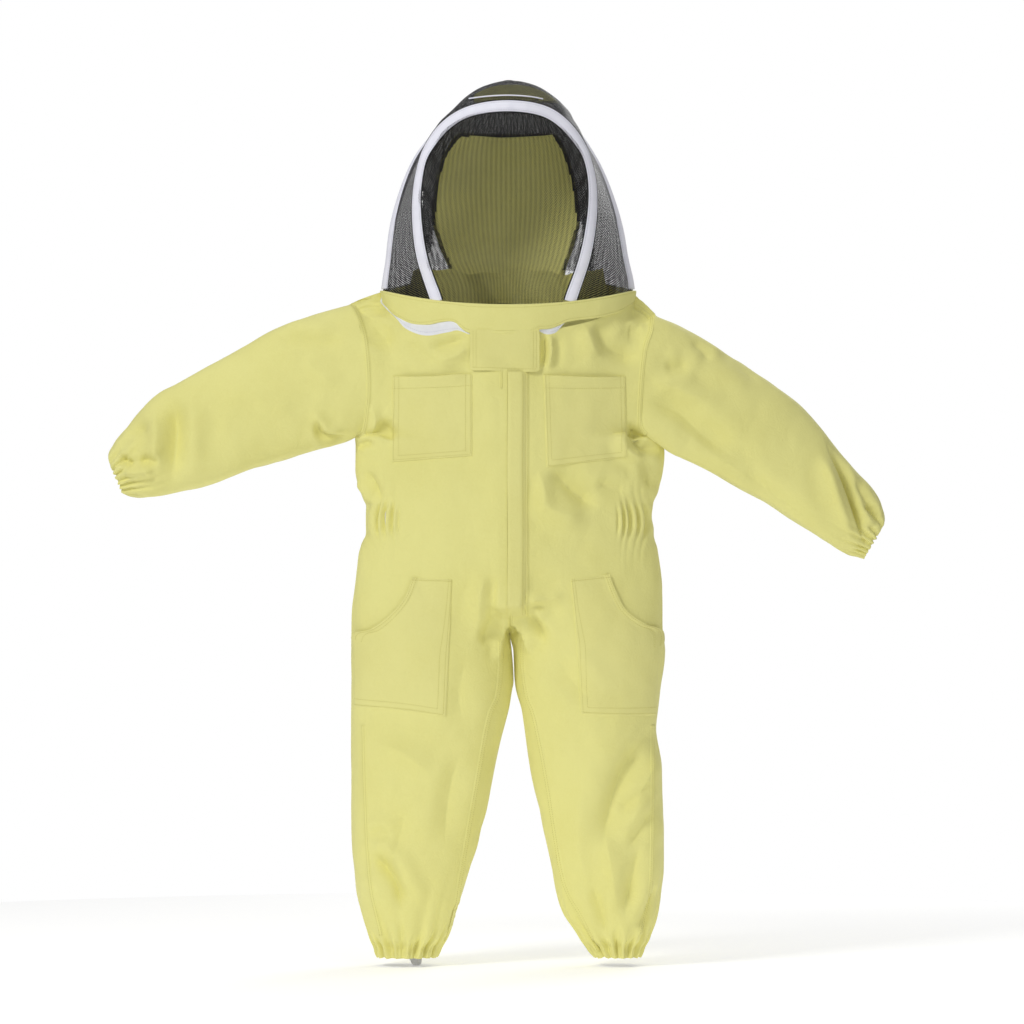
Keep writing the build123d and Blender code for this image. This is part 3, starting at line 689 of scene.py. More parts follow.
def split_suit(name, wanted):
    """Cuts one region out of the whole garment and keeps the whole's shading at the cut."""
    kinds = np.zeros(len(suit.data.polygons), dtype=np.int32)
    suit.data.attributes["region"].data.foreach_get("value", kinds)
    keep = np.where(kinds == wanted)[0]
    polygons = [list(suit.data.polygons[k].vertices) for k in keep]
    used = np.unique(np.concatenate(polygons))
    renumber = {int(v): k for k, v in enumerate(used)}
    piece = mesh_object(name, suit_points[used], [[renumber[v] for v in p] for p in polygons])
    piece.data.normals_split_custom_set_from_vertices([tuple(n) for n in suit_normals[used]])
    return wear(piece, cotton_mat)


placed(split_suit("coverall_trunk", TRUNK), "coverall", "yellow_cotton",
       "right_front_panel", "left_front_panel", "back_panel")
for name, wanted, body, node in (("right_sleeve_cloth", RIGHT_ARM, "right_arm", "right_sleeve"),
                                 ("left_sleeve_cloth", LEFT_ARM, "left_arm", "left_sleeve"),
                                 ("right_leg_cloth", RIGHT_LEG, "right_trouser_leg", "right_leg"),
                                 ("left_leg_cloth", LEFT_LEG, "left_trouser_leg", "left_leg")):
    placed(split_suit(name, wanted), body, "yellow_cotton", node, bends=True)
bpy.data.objects.remove(suit)


# ------------------------------------------------------------------ pieces made of several sheets
class Build:
    """Collects sheets, strips and stitches into one object. Each has the number of its material."""

    def __init__(self):
        self.points, self.faces, self.kinds = [], [], []

    def add(self, points, faces, kind=0):
        start = sum(len(p) for p in self.points)
        self.points.append(np.asarray(points, float).reshape(-1, 3))
        self.faces += [[int(i) + start for i in f] for f in faces]
        self.kinds += [kind] * len(faces)

    def slab(self, outer, normal, thick, closed=False):
        """A sheet with thickness: its outer side, its inner side and the edge between. Thickness in millimetres."""
        rows, cols = outer.shape[:2]
        inner = outer - normal * thick * MM
        count = rows * cols
        shell = grid_faces(rows, cols, 0, closed)
        faces = [list(f) for f in shell] + [list(f[::-1] + count) for f in shell]
        first, last = list(range(cols)), list(range(count - cols, count))[::-1]
        rims = [first + [0], last + [count - 1]] if closed else [
            first, last, list(range(0, count, cols))[::-1], list(range(cols - 1, count, cols))]
        for rim in rims:
            faces += [[b, a, a + count, b + count] for a, b in zip(rim[:-1], rim[1:])]
        self.add(np.vstack([outer.reshape(-1, 3), inner.reshape(-1, 3)]), faces)

    def stitches(self, line, normal, pitch=3.4, length=2.5, radius=0.36):
        """A row of thread stitches along a line of points, each one a small capsule. Lengths in millimetres."""
        line, normal = np.asarray(line, float).reshape(-1, 3), np.asarray(normal, float).reshape(-1, 3)
        run = travelled(line)
        middle = np.arange(0.5 * pitch, run[-1] / MM, pitch) * MM
        if len(middle) == 0:
            return
        at = resampled(middle, run, line)
        along = unit(resampled(middle + 0.0008, run, line) - resampled(middle - 0.0008, run, line))
        up = unit(resampled(middle, run, normal))
        across = np.cross(along, up)
        rings = [(-0.5, 0.15, -0.35), (-0.32, 0.9, 0.1), (0, 1.0, 0.45), (0.32, 0.9, 0.1), (0.5, 0.15, -0.35)]
        sides = 5
        corners = [2 * math.pi * k / sides for k in range(sides)]
        shape = np.array([(shift * length, math.cos(a) * radius * size, math.sin(a) * radius * size + rise * radius)
                          for shift, size, rise in rings for a in corners]) * MM
        points = (at[:, None] + shape[None, :, :1] * along[:, None] + shape[None, :, 1:2] * across[:, None]
                  + shape[None, :, 2:] * up[:, None])
        one = grid_faces(len(rings), sides, 0, True)
        self.add(points, np.concatenate([one + k * len(shape) for k in range(len(at))]), 1)

    def make(self, name, materials, sharp=0.9):
        obj = mesh_object(name, np.vstack(self.points), self.faces)
        layer = obj.data.uv_layers.new(name="UVMap")
        layer.data.foreach_set("uv", np.zeros(2 * len(obj.data.loops)))
        for mat in materials:
            obj.data.materials.append(mat)
        obj.data.polygons.foreach_set("material_index", np.array(self.kinds, dtype=np.int32))
        obj.data.set_sharp_from_angle(angle=sharp)
        return obj


def drape(spots, lift, back=False):
    """Lays a grid of (x, z) spots, in millimetres, on the garment. Gives points and normals in metres."""
    rows, cols = spots.shape[:2]
    points, facing = np.zeros((rows, cols, 3)), np.zeros((rows, cols, 3))
    for r in range(rows):
        for c in range(cols):
            points[r, c], facing[r, c] = on_suit(spots[r, c, 0] * MM, spots[r, c, 1] * MM, back)
    for _ in range(2):
        wide = np.pad(facing, ((1, 1), (1, 1), (0, 0)), mode="edge")
        facing = (wide[1:-1, 1:-1] * 2 + wide[:-2, 1:-1] + wide[2:, 1:-1] + wide[1:-1, :-2] + wide[1:-1, 2:]) / 6
    facing = unit(facing)
    return points + facing * np.broadcast_to(lift, (rows, cols))[..., None] * MM, facing


def rounded(spots, edge=1.6, height=1.5, dip=-0.5):
    """How far a patch stands off: full height inside, down to the cloth over the last millimetres."""
    def from_ends(line):
        run = travelled(line)
        return np.minimum(run, run[-1] - run)

    across = np.array([from_ends(row) for row in spots])
    along = np.array([from_ends(col) for col in spots.transpose(1, 0, 2)]).T
    return dip + (height - dip) * smooth(0, edge, np.minimum(across, along))


def seam(name, line, body, hand, wide=8.0, height=1.1, back=False, bends=False, threads=(0.25, 0.62), stands_for=()):
    """A lapped seam: a raised strip beside a line, sharp on one side and fading on the other, with rows of thread."""
    count = max(int(travelled(np.array(line, float))[-1] / 4), 8)
    middle = path(line, count)
    ahead = unit(np.gradient(middle, axis=0))
    side = np.stack([-ahead[:, 1], ahead[:, 0]], axis=1) * hand
    shares = np.array([-0.04, 0.0, 0.1, 0.3, 0.5, 0.7, 0.85, 1.0])
    rise = np.array([-0.5, 0.75, 1.0, 0.95, 0.9, 0.6, 0.1, -0.5]) * height
    points, facing = drape(middle[:, None] + side[:, None] * (shares * wide)[None, :, None], rise[None], back)
    build = Build()
    build.add(points, grid_faces(count, len(shares), flip=(hand > 0) == back))
    for share in threads:
        k = np.searchsorted(shares, share) - 1
        t = (share - shares[k]) / (shares[k + 1] - shares[k])
        build.stitches(points[:, k] * (1 - t) + points[:, k + 1] * t, facing[:, k])
    return placed(build.make(name, [cotton_mat, stitch_mat]), body, "yellow_cotton", *stands_for, bends=bends)


# seams of the coverall
for back in (False, True):
    tail = "_back" if back else ""
    seam("right_armhole_seam" + tail, [(-228, -12), (-219, -29), (-210.2, -58.4), (-206, -95), (-205, -131),
                                       (-207.3, -160.6), (-211.5, -187), (-219, -197)], "coverall", 1, back=back)
    seam("left_armhole_seam" + tail, [(213.5, -28), (210.2, -48.2), (203, -68.6), (198.6, -96.4), (195.6, -134.3),
                                      (194.2, -170), (196, -186), (203, -194)], "coverall", -1, back=back)
for back in (False, True):
    tail = "_back" if back else ""
    seam("right_inseam" + tail, [(-7.3, -497), (-7.3, -540), (-12, -580), (-24.8, -613), (-44, -720), (-68.6, -864),
                                 (-78, -949)], "right_trouser_leg", -1, wide=9, back=back, bends=True)
    seam("left_inseam" + tail, [(17.5, -497), (17.5, -540), (24, -580), (35, -613), (52, -700), (76, -844), (104, -900),
                                (128, -950)], "left_trouser_leg", 1, wide=9, back=back, bends=True)
seam("right_side_seam", [(-214, -620), (-212, -700), (-208, -800), (-202, -860), (-188, -925)], "right_trouser_leg", 1,
     bends=True)
seam("left_side_seam", [(214, -620), (214, -700), (213, -800), (210, -860), (196, -925)], "left_trouser_leg", -1,
     bends=True)
seam("centre_back_seam", [(2, 26), (2, -100), (2, -250), (2, -400), (2, -480)], "coverall", 1, back=True)
seam("yoke_seam_back", [(-203, -88), (-100, -92), (0, -93), (100, -92), (198, -88)], "coverall", -1, back=True)
seam("waist_seam_back", [(-196, -322), (-100, -326), (0, -327), (100, -326), (200, -322)], "coverall", -1, back=True)
seam("crotch_seam", [(2.5, -452), (2, -472), (1.5, -486)], "coverall", 1, wide=7)


# ------------------------------------------------------------------ pockets
def patch_pocket(name, corners, node):
    """A patch pocket: a sheet with a folded top edge that stands open a little, sewn down on three sides."""
    tl, tr, br, bl = [np.array(c, float) for c in corners]
    wide, tall = np.linalg.norm(tr - tl), np.linalg.norm(bl - tl)
    u = np.linspace(0, 1, 44)
    u = 0.5 - 0.5 * np.cos(np.pi * u) * (1 + 0.25 * np.sin(np.pi * u) ** 2)
    v = cosine(46)
    top = tl[None] + (tr - tl)[None] * u[:, None] + np.stack([0 * u, -1.4 * np.sin(np.pi * u)], axis=1)
    bottom = bl[None] + (br - bl)[None] * u[:, None]
    spots = top[None] * (1 - v[:, None, None]) + bottom[None] * v[:, None, None]
    down = (v * tall)[:, None]
    from_side = np.minimum(u, 1 - u)[None] * wide
    near_top = 1 - smooth(0, 1.8, down)
    lift = rounded(spots) * (1 - near_top) + (-0.5 + 2.0 * smooth(0, 1.6, from_side)) * near_top
    lift += 4.2 * np.exp(-(down / HEM_DEPTH) ** 2) * smooth(0, 30, from_side)
    lift -= 0.5 * np.exp(-(down - HEM_DEPTH) ** 2) * smooth(2, 5, from_side)
    points, facing = drape(spots, lift)
    build = Build()
    build.slab(points, facing, 1.0)
    for inset in THREAD_INSETS:
        cut = inset / wide
        first, last = np.searchsorted(u, cut), np.searchsorted(u, 1 - cut) - 1
        low = np.searchsorted(v, 1 - inset / tall) - 1
        for part in ((slice(0, low + 1), first), (low, slice(first, last + 1)), (slice(0, low + 1), last)):
            build.stitches(points[part], facing[part])
    hem = (np.searchsorted(v, HEM_DEPTH / tall), slice(2, -2))
    build.stitches(points[hem], facing[hem])
    placed(build.make(name, [patch_mat, stitch_mat]), "coverall", "yellow_cotton", node)


HEM_DEPTH = 16.0  # of the fold along a chest pocket's mouth
THREAD_INSETS = (2.6, 8.0)  # the two rows of thread round every pocket
patch_pocket("right_chest_patch", [(-168, -112.5), (-51, -109.5), (-51, -229), (-169, -238)], "right_chest_pocket")
patch_pocket("left_chest_patch", [(51, -111), (171, -112.5), (173.5, -230.5), (55.5, -245.5)], "left_chest_pocket")


def hip_pocket(side, top, inner, bottom, scoop):
    """A hip pocket: its top, inner and bottom edges and the scooped mouth that runs on down the outer side."""
    rows, cols = 56, 40
    u, v = cosine(cols), np.linspace(0, 1, rows)
    outer_line = path(scoop, rows)
    spots = coons(path(top, cols, u), path(bottom, cols, u), path(inner, rows), outer_line, u, v)
    reach = np.linalg.norm(spots - outer_line[:, None], axis=2)
    mouth = 1 - smooth(0.55, 0.62, v)[:, None]
    lift = rounded(spots) + mouth * (3.0 * np.exp(-(reach / 9) ** 2) + (1 - smooth(0, 1.6, reach)) * 1.9)
    groove = np.exp(-((reach - 9) / 0.9) ** 2) * mouth
    points, facing = drape(spots, lift - 0.5 * groove)
    build = Build()
    build.slab(points, facing, 1.0)
    for inset in THREAD_INSETS:
        first = max(int(np.searchsorted(u, inset / 90)), 1)
        low = rows - 1 - max(int(inset / 140 * rows), 1)
        for part in ((slice(0, low + 1), first), (low, slice(first, -2)),
                     (slice(0, int(rows * 0.6)), cols - 1 - first)):
            build.stitches(points[part], facing[part])
    build.stitches(points[1, 2:-2], facing[1, 2:-2])
    placed(build.make(side + "_hip_pocket", [patch_mat, stitch_mat]), side + "_trouser_leg", "yellow_cotton",
           side + "_hip_pocket_mouth", side + "_hip_pocket_bag", bends=True)


hip_pocket("right", [(-80, -406), (-137, -404.5)], [(-80, -406), (-84, -500), (-89, -607.5)],
           [(-89, -607.5), (-150, -599), (-224, -594)],
           [(-137, -404.5), (-150, -436), (-172, -461), (-198, -480), (-224.5, -490), (-225, -540), (-224, -594)])
hip_pocket("left", [(90.5, -406), (146, -400)], [(90.5, -406), (99, -500), (105, -603)],
           [(105, -603), (160, -606), (216, -607)],
           [(146, -400), (160.6, -436.5), (175, -457), (198.6, -473), (224, -486), (219, -540), (216, -607)])


# ------------------------------------------------------------------ zip, its cover and the throat flap
def grid_normals(points):
    return unit(np.cross(np.gradient(points, axis=1), np.gradient(points, axis=0)))


def flat_sheet(name, x, y, z, thick, body, node, threads):
    """A cloth cover standing off the garment. The grids x, y and z are in millimetres, its flat size in metres."""
    points = np.stack([x, y, z], axis=-1) * MM
    facing = grid_normals(points)
    if facing[..., 1].mean() > 0:
        facing = -facing
    build = Build()
    build.slab(points, facing, thick)
    for part in threads:
        build.stitches(points[part], facing[part])
    piece = placed(build.make(name, [patch_mat, stitch_mat]), body, "yellow_cotton", node)


# the zip cover: sewn down on the wearer's left, free on the right
cover_v = np.linspace(-106.5, -461, 120)
cover_u = np.array([-3.6, -3.0, -2.0, -0.4, 1.6, 4.0, 7.0, 10.0, 13.0, 16.0, 18.2, 20.4, 22.4, 24.0, 24.8])
cover_x = np.repeat(cover_u[None], len(cover_v), axis=0) + 0.3 * np.sin(cover_v / 31)[:, None] + 3.0
cover_z = np.repeat(cover_v[:, None], len(cover_u), axis=1)
under = np.array([[on_suit(x * MM, z * MM)[0][1] / MM for x, z in zip(*row)] for row in zip(cover_x, cover_z)])
for _ in range(30):
    under[1:-1] = (under[:-2] + under[1:-1] * 2 + under[2:]) / 4
share = smooth(24.0, 14.5, cover_u)[None] * smooth(-463, -441, cover_z)
ridge = 0.5 * np.sin(cover_z / 17 + np.sin(cover_z / 41) * 2) * smooth(-200, -300, cover_z)
cover_y = (under - 1.3) * (1 - share) + (-84.6 + ridge * 0.6 + 0.8 * smooth(0.5, -3.6, cover_u)[None]) * share
flat_sheet("zip_cover_cloth", cover_x, cover_y, cover_z, 1.1, "zip_cover", "front_placket",
           [(slice(1, -1), 12), (slice(1, -1), 10)])
seam("zip_cover_seam", [(26, -107), (26.4, -200), (25.8, -300), (26.2, -400), (25.8, -461)], "coverall", 1, wide=5.5,
     height=0.9, threads=(0.45,), stands_for=("placket_seam",))
seam("zip_cover_guard", [(-8.5, -104), (-8.2, -112), (-8.4, -120), (-8.2, -131)], "coverall", -1, wide=4, height=0.8,
     threads=(0.5,))

# zip tapes, sewn along the opening
for name, x_in, x_out in (("right", 3.6, -8.6), ("left", 4.4, 16.4)):
    points, _ = drape(np.stack(np.meshgrid(np.linspace(x_in, x_out, 7), np.linspace(-52, -444, 90)), axis=-1), 0.6)
    points[..., 1] = np.minimum(points[..., 1], -0.0752) * 0.25 - 0.0757 * 0.75
    facing = np.zeros_like(points)
    facing[..., 1] = -1
    build = Build()
    build.slab(points, facing, 0.7)
    build.stitches(points[:, 4], facing[:, 4])
    placed(build.make(name + "_zip_band", [tape_mat, white_stitch_mat]), "coverall", "white_tape",
           name + "_front_zip_tape")

# the throat flap under the hood's seam
fx, fz = np.meshgrid(np.linspace(-55, 45.5, 46), np.concatenate([[-45.5], np.linspace(-47, -105.2, 32), [-105.8]]))
corner = 5.0
from_side = np.clip(np.minimum(fx + 55, 45.5 - fx), 0, None)
cut = corner - np.sqrt(np.clip(corner ** 2 - np.clip(corner - from_side, 0, corner) ** 2, 0, None))
fz = fz + np.where(fz < -95, cut, 0) * smooth(-96, -105, fz)
fz = fz - 1.2 * np.sin((fx + 10) / 23) * smooth(-70, -105, fz)
flap_y = (-83.6 - smooth(-66, -50, fz) + smooth(16, 0, from_side) - 0.9 * np.sin((fx + 60) / 14) * smooth(-60, -105, fz)
          - 0.7 * np.sin(fx / 9 + fz / 13) * smooth(-55, -90, fz) + 1.2 * smooth(-88, -105, fz)
          + 0.0045 * np.clip(np.abs(fx) - 10, 0, None) ** 1.6)
flat_sheet("throat_flap_cloth", fx, flap_y, fz, 1.2, "flap", "throat_flap",
           [(slice(1, -3), k) for k in (2, 4, 41, 43)] + [(30, slice(2, -2))])


# ------------------------------------------------------------------ hood
LOWEST, HIGHEST = -62, 318.4  # the heights between which the hood's shape is given
hood_half = mono(*zip((-62, 182), (10, 183.5), (60, 180), (105, 173), (150, 161.5), (195, 145.5), (238, 121.5),
                      (275, 89), (302, 57), (316, 21), (318.5, 6)))
hood_front = mono(*zip((-62, -80), (10, -85), (60, -112), (105, -130), (150, -138), (195, -136), (238, -122),
                       (275, -96), (302, -62), (316, -26), (318.5, -8)))
hood_rear = mono(*zip((-62, 80), (10, 84), (60, 92), (105, 114), (150, 124), (195, 122), (238, 106), (275, 80),
                      (302, 48), (316, 14), (318.5, 6)))
hood_lean = mono(*zip((-62, 0), (15, 0), (80, -2), (146, -3.4), (212, -4), (255, 0), (277, 4), (299, 2), (318, 0)))
HEART = np.array([0.0, -4.0, 70.0])


def hood_oval(z):
    """The middle and the half depth of the hood's outline at a height."""
    return (hood_front(z) + hood_rear(z)) / 2, (hood_rear(z) - hood_front(z)) / 2


def hood_value(p):
    """Below 1 inside the hood's shape, above 1 outside. p is (n, 3) in millimetres."""
    z = np.clip(p[:, 2], LOWEST, HIGHEST)
    middle, half = hood_oval(z)
    value = ((p[:, 0] - hood_lean(z)) / hood_half(z)) ** 2 + ((p[:, 1] - middle) / half) ** 2
    return value + np.clip(p[:, 2] - HIGHEST, 0, None)


def leave_hood(spot_at, count):
    """Where count rays leave the hood's shape, by halving. spot_at gives the points at their distances."""
    near, far = np.zeros(count), np.full(count, 420.0)
    for _ in range(36):
        mid = (near + far) / 2
        outside = hood_value(spot_at(mid)) > 1
        near, far = np.where(outside, near, mid), np.where(outside, mid, far)
    return spot_at(near)


def on_hood(points, bulge=0.0):
    """Puts points on the hood's shape along rays from its heart, and gives the outward normals there."""
    ways = unit(np.asarray(points, float) - HEART)
    spots = leave_hood(lambda far: HEART + ways * far[:, None], len(ways))
    slope = unit(np.stack([hood_value(spots + step) - hood_value(spots - step) for step in 0.6 * np.eye(3)], axis=1))
    return spots + slope * bulge, slope


def hood_y(x, z, hand=-1):
    """The hood's front (hand -1) or rear (hand 1) at (x, z)."""
    middle, half = hood_oval(z)
    return middle + hand * half * np.sqrt(np.clip(1 - ((x - hood_lean(z)) / hood_half(z)) ** 2, 0.0005, 1))


def shell_y(z):
    """Where the rear hoop lies, at a height."""
    return 4 + 0.13 * z


ARCH = path([(-102.8, -16), (-104, -2), (-123.4, 56.9), (-130.8, 110), (-130.6, 154.8), (-124, 194), (-112.4, 220.5),
             (-89.1, 249.8), (-55.5, 269.0), (-4.4, 276.2), (46.7, 270.6), (78.8, 252.6), (105.1, 220.5), (117, 190),
             (121.9, 154.8), (120, 110), (110.2, 56.9), (90.5, -2), (89.3, -16)], 260)
arch_points, arch_out = on_hood(np.stack([ARCH[:, 0], hood_y(*ARCH.T), ARCH[:, 1]], axis=1))
angles = np.linspace(-0.30, math.pi + 0.30, 260)


def rear_spot(far):
    z = HEART[2] + np.sin(angles) * far
    return np.stack([-np.cos(angles) * far, shell_y(z), z], axis=1)


rear_points, rear_out = on_hood(leave_hood(rear_spot, len(angles)))
# half widths of the rear cloth
PANEL = mono(*zip((20, 78), (45, 81), (86, 96), (125, 105), (187, 97), (225, 84), (244, 70)))


def inside_polygon(x, z, polygon):
    inside = np.zeros(x.shape, bool)
    for (x0, z0), (x1, z1) in zip(polygon, np.roll(polygon, -1, axis=0)):
        crosses = (z0 > z) != (z1 > z)
        with np.errstate(divide="ignore", invalid="ignore"):
            inside ^= crosses & (x < (x1 - x0) * (z - z0) / (z1 - z0) + x0)
    return inside


around = np.linspace(0, 2 * math.pi, 337)[:-1]
rise = np.concatenate([np.linspace(-0.86, 1.2, 132), np.linspace(1.2, 1.555, 26)[1:]])
A, E = np.meshgrid(around, rise)
skin, skin_out = on_hood(HEART + np.stack([np.cos(E) * np.cos(A), np.cos(E) * np.sin(A), np.sin(E)],
                                          axis=-1).reshape(-1, 3))
sway = noise_field(12, 150, 45, 41)
skin = skin + skin_out * sway(skin[:, 0] + skin[:, 1], skin[:, 2])[:, None]
rows, cols = A.shape
quads = grid_faces(rows, cols, 0, closed=True)
# between the hoops the side nets are drawn flat
for side in (-1, 1):
    half = ARCH[:130] if side < 0 else ARCH[130:][::-1]
    half = half[np.argmin(half[:, 1]):]
    lifted = half[half[:, 1] < 267]
    arch_x = np.interp(skin[:, 2], lifted[:, 1], lifted[:, 0])
    arch_y = hood_y(arch_x, np.clip(skin[:, 2], LOWEST, 280))
    z = np.clip(skin[:, 2], LOWEST, 318)
    middle, depth = hood_oval(z)
    rear_x = hood_lean(z) + side * hood_half(z) * np.sqrt(np.clip(1 - ((shell_y(z) - middle) / depth) ** 2, 0.001, 1))
    t = (skin[:, 1] - arch_y) / (shell_y(z) - arch_y)
    chord = arch_x + (rear_x - arch_x) * t - side * 2.0 * np.sin(np.pi * np.clip(t, 0, 1))
    share = np.where((skin[:, 0] * side > 0) & (t > 0) & (t < 1), 0.92 * smooth(282, 215, skin[:, 2]), 0)
    skin[:, 0] = skin[:, 0] * (1 - share) + chord * share
cx, cy, cz = skin[quads].mean(axis=1).T
in_arch = inside_polygon(cx, cz, np.vstack([ARCH, [(0, -90)]])) & (cy < -20)
behind = cy > shell_y(cz)
kept = cz > -17.8 + 54 * np.clip((cy + 82) / 164, 0, 1) ** 2  # the nets end inside the collar band
crown = (cz > 286) & (cx > -50) & (cx < 74) & (cy > -80) & (cy < -34)
on_panel = behind & (cz < 246) & (np.abs(cx - hood_lean(cz)) < PANEL(cz))
sheet = skin.reshape(rows, cols, 3)
girth = np.linalg.norm(np.roll(sheet, -1, axis=1) - sheet, axis=2)[int(rows * 0.45)].sum()
climb = np.linalg.norm(np.diff(sheet, axis=0, prepend=sheet[:1]), axis=2)
skin_uv = np.stack([(A * girth / (2 * math.pi)).ravel(), np.cumsum(climb, axis=0).ravel()], axis=1) * MM


def skin_piece(name, wanted, mat, *replaced, slot="black_mesh", offset=0.0, solid=0.0):
    """A part of the hood's skin, with its own coordinates in metres for the net's pattern."""
    used, corners = np.unique(quads[wanted], return_inverse=True)
    piece = mesh_object(name, (skin + skin_out * offset)[used] * MM, corners.reshape(-1, 4))
    layer = piece.data.uv_layers.new(name="UVMap")
    corner_uv = skin_uv[quads[wanted]]
    # faces across the line where the coordinates close on themselves get unbroken ones
    wrapped = np.ptp(corner_uv[..., 0], axis=1) > girth * MM / 2
    u = corner_uv[wrapped, :, 0]
    corner_uv[wrapped, :, 0] = np.where(u < girth * MM / 2, u + girth * MM, u)
    layer.data.foreach_set("uv", corner_uv.reshape(-1))
    wear(piece, mat)
    if solid:
        modified(piece, "SOLIDIFY", thickness=solid * MM, offset=-1.0)
    placed(piece, "hood", slot, *replaced)


sides = kept & ~in_arch & ~behind & ~crown
seen_through = behind & ~on_panel & (np.abs(cx) < 128)
upper_part = cz > np.clip(120 - 8.5 * (np.abs(cx) - 109.5), 70, 120)
skin_piece("face_net", kept & in_arch, net_mat, "face_veil")
skin_piece("right_side_net", sides & (cx < 0), dense_net_mat, "right_side_veil")
skin_piece("left_side_net", sides & (cx >= 0), dense_net_mat, "left_side_veil")
skin_piece("rear_net", kept & behind & ~on_panel, net_mat, "back_veil")
# the rear cloth wears the cotton painted lighter against the shade inside the hood
skin_piece("hood_rear_cloth", kept & on_panel, lightened_hood_cotton_mat, "hood_back_panel", slot="yellow_cotton", solid=1.2)
skin_piece("crown_net", crown & ~in_arch & ~behind, crown_net_mat)
skin_piece("crown_cloth", crown & ~in_arch, cotton_mat, "crown_patch", slot="yellow_cotton", offset=-2.0, solid=1.2)
# a second net layer above and beside the rear cloth: real doubled net, darkened further as painted shade of the hood's
# crown
skin_piece("rear_net_shade_layer", seen_through & upper_part, shade_net_mat, offset=-2.5)
skin_piece("rear_net_lower", seen_through & ~upper_part & (cz > 46), crown_net_mat, offset=-2.5)


def ribbon(line, out, wide, high, name, mats, slot, *replaced, body="hood", thread=0.36):
    """A padded tape along a line: an oval section, sewn along both edges where it has a second material."""
    side = unit(np.cross(out, unit(np.gradient(line, axis=0))))
    run = travelled(line)
    turn = np.linspace(0, 2 * math.pi, 23)[:-1]
    c, s = np.cos(turn), np.sin(turn)
    flat, round_ = np.sign(c) * np.abs(c) ** 0.75 * wide / 2, np.sign(s) * np.abs(s) ** 0.9 * high / 2
    puckers = 1 + 0.0125 * np.sin(run * 0.9)[:, None] + 0.02 * np.sin(run * 0.31 + 1)[:, None]
    groove = 0.28 * high * np.exp(-((np.abs(flat) - thread * wide) / (0.05 * wide)) ** 2) * (round_ > 0)
    rise = round_[None] * puckers - groove[None]
    spots = (line[:, None] + side[:, None] * flat[None, :, None] + out[:, None] * (rise[..., None] + high * 0.22)) * MM
    build = Build()
    build.add(spots, grid_faces(len(line), len(turn), 0, closed=True))
    build.add(spots[0], [range(len(turn))[::-1]])
    build.add(spots[-1], [range(len(turn))])
    if mats[1:]:
        for sign in (-1, 1):
            build.stitches((line + side * sign * thread * wide + out * high * 0.42) * MM, out, pitch=3.6, length=2.7)
    placed(build.make(name, mats, sharp=1.4), body, slot, *replaced)


# the front hoop's tape, turned to face the front at the top
turned = smooth(190, 262, arch_points[:, 2])[:, None]
arch_face = unit(arch_out + np.array([0, -1.1, 0]) * turned)
arch_line = arch_points + np.array([0, -3.0, 0]) * turned
arch_side = np.cross(arch_face, unit(np.gradient(arch_points, axis=0)))
shown = arch_points[:, 2] > -7
ribbon(arch_line[shown], arch_face[shown], 17.4, 4.2, "front_hoop_tape", [binding_mat, white_stitch_mat], "white_tape",
       "front_hoop_binding")
for reach, label in ((-9.3, "inner"), (9.3, "outer")):
    ribbon((arch_line + arch_side * reach)[shown], arch_face[shown], 2.2, 1.6, f"front_hoop_{label}_net_edge",
           [edge_mat], "black_mesh")
shown = rear_points[:, 2] > 16
rear_points, rear_out = rear_points[shown], rear_out[shown]
rear_face = unit(rear_out + np.array([0, -0.85, 0]) * smooth(300, 250, rear_points[:, 2])[:, None])
rear_tape = rear_points - rear_out * 3.0 + np.array([0, -6.0, 0])
ribbon(rear_tape, rear_face, 15.5, 3.6, "rear_hoop_tape", [binding_mat, white_stitch_mat], "white_tape",
       "rear_hoop_binding")
ribbon(rear_tape[6:-6], rear_face[6:-6], 6.0, 1.6, "rear_hoop_boning", [plastic_mat], "boning", "rear_hoop")
ribbon(arch_points[14:-14], arch_out[14:-14], 6.5, 1.8, "front_hoop_boning", [plastic_mat], "boning", "front_hoop")

# seam round the rear cloth
climb = np.linspace(20, 242, 60)
edge_z = np.concatenate([climb, np.full(24, 245.0), climb[::-1]])
edge_x = np.concatenate([-PANEL(climb), np.linspace(-70, 70, 24), PANEL(climb[::-1])])
x, z = path(np.stack([edge_x + hood_lean(edge_z), edge_z], axis=1)[::4], 200).T
ribbon(*on_hood(np.stack([x, hood_y(x, z, 1), z], axis=1)), 9, 3.0, "rear_cloth_edge", [lightened_hood_cotton_mat, stitch_mat],
       "yellow_cotton", thread=0.3)

# seam across the crown
x, z = path([(-56, 289.5), (-30, 291.5), (0, 292.5), (30, 291), (50, 288)], 70).T
ribbon(*on_hood(np.stack([x, hood_y(x, z), z], axis=1), 0.6), 2.6, 1.8, "crown_seam", [binding_mat], "white_tape",
       thread=0.3)


# ------------------------------------------------------------------ collar band and neck zip
turns = np.linspace(0, 2 * math.pi, 241)[:-1]
# the band's lower edge in front: it rides up where the white zip tape shows
band_low = mono(*zip((-184, -2), (-172, -17), (-159, -27), (-146, -34.5), (-128.5, -38.5), (-114, -37.5), (-99, -34.5),
                     (-85, -33), (-77, -34.5), (-70, -41), (-60, -48.5), (-50, -51), (0, -51.5), (36, -50), (44, -45),
                     (52, -44.5), (60, -44), (70, -41), (86, -34), (134, -27), (165, -17), (184, -4)))


def oval_normals(angle, half_x, half_y):
    return unit(np.stack([np.cos(angle) / half_x, np.sin(angle) / half_y, 0 * angle], axis=1))


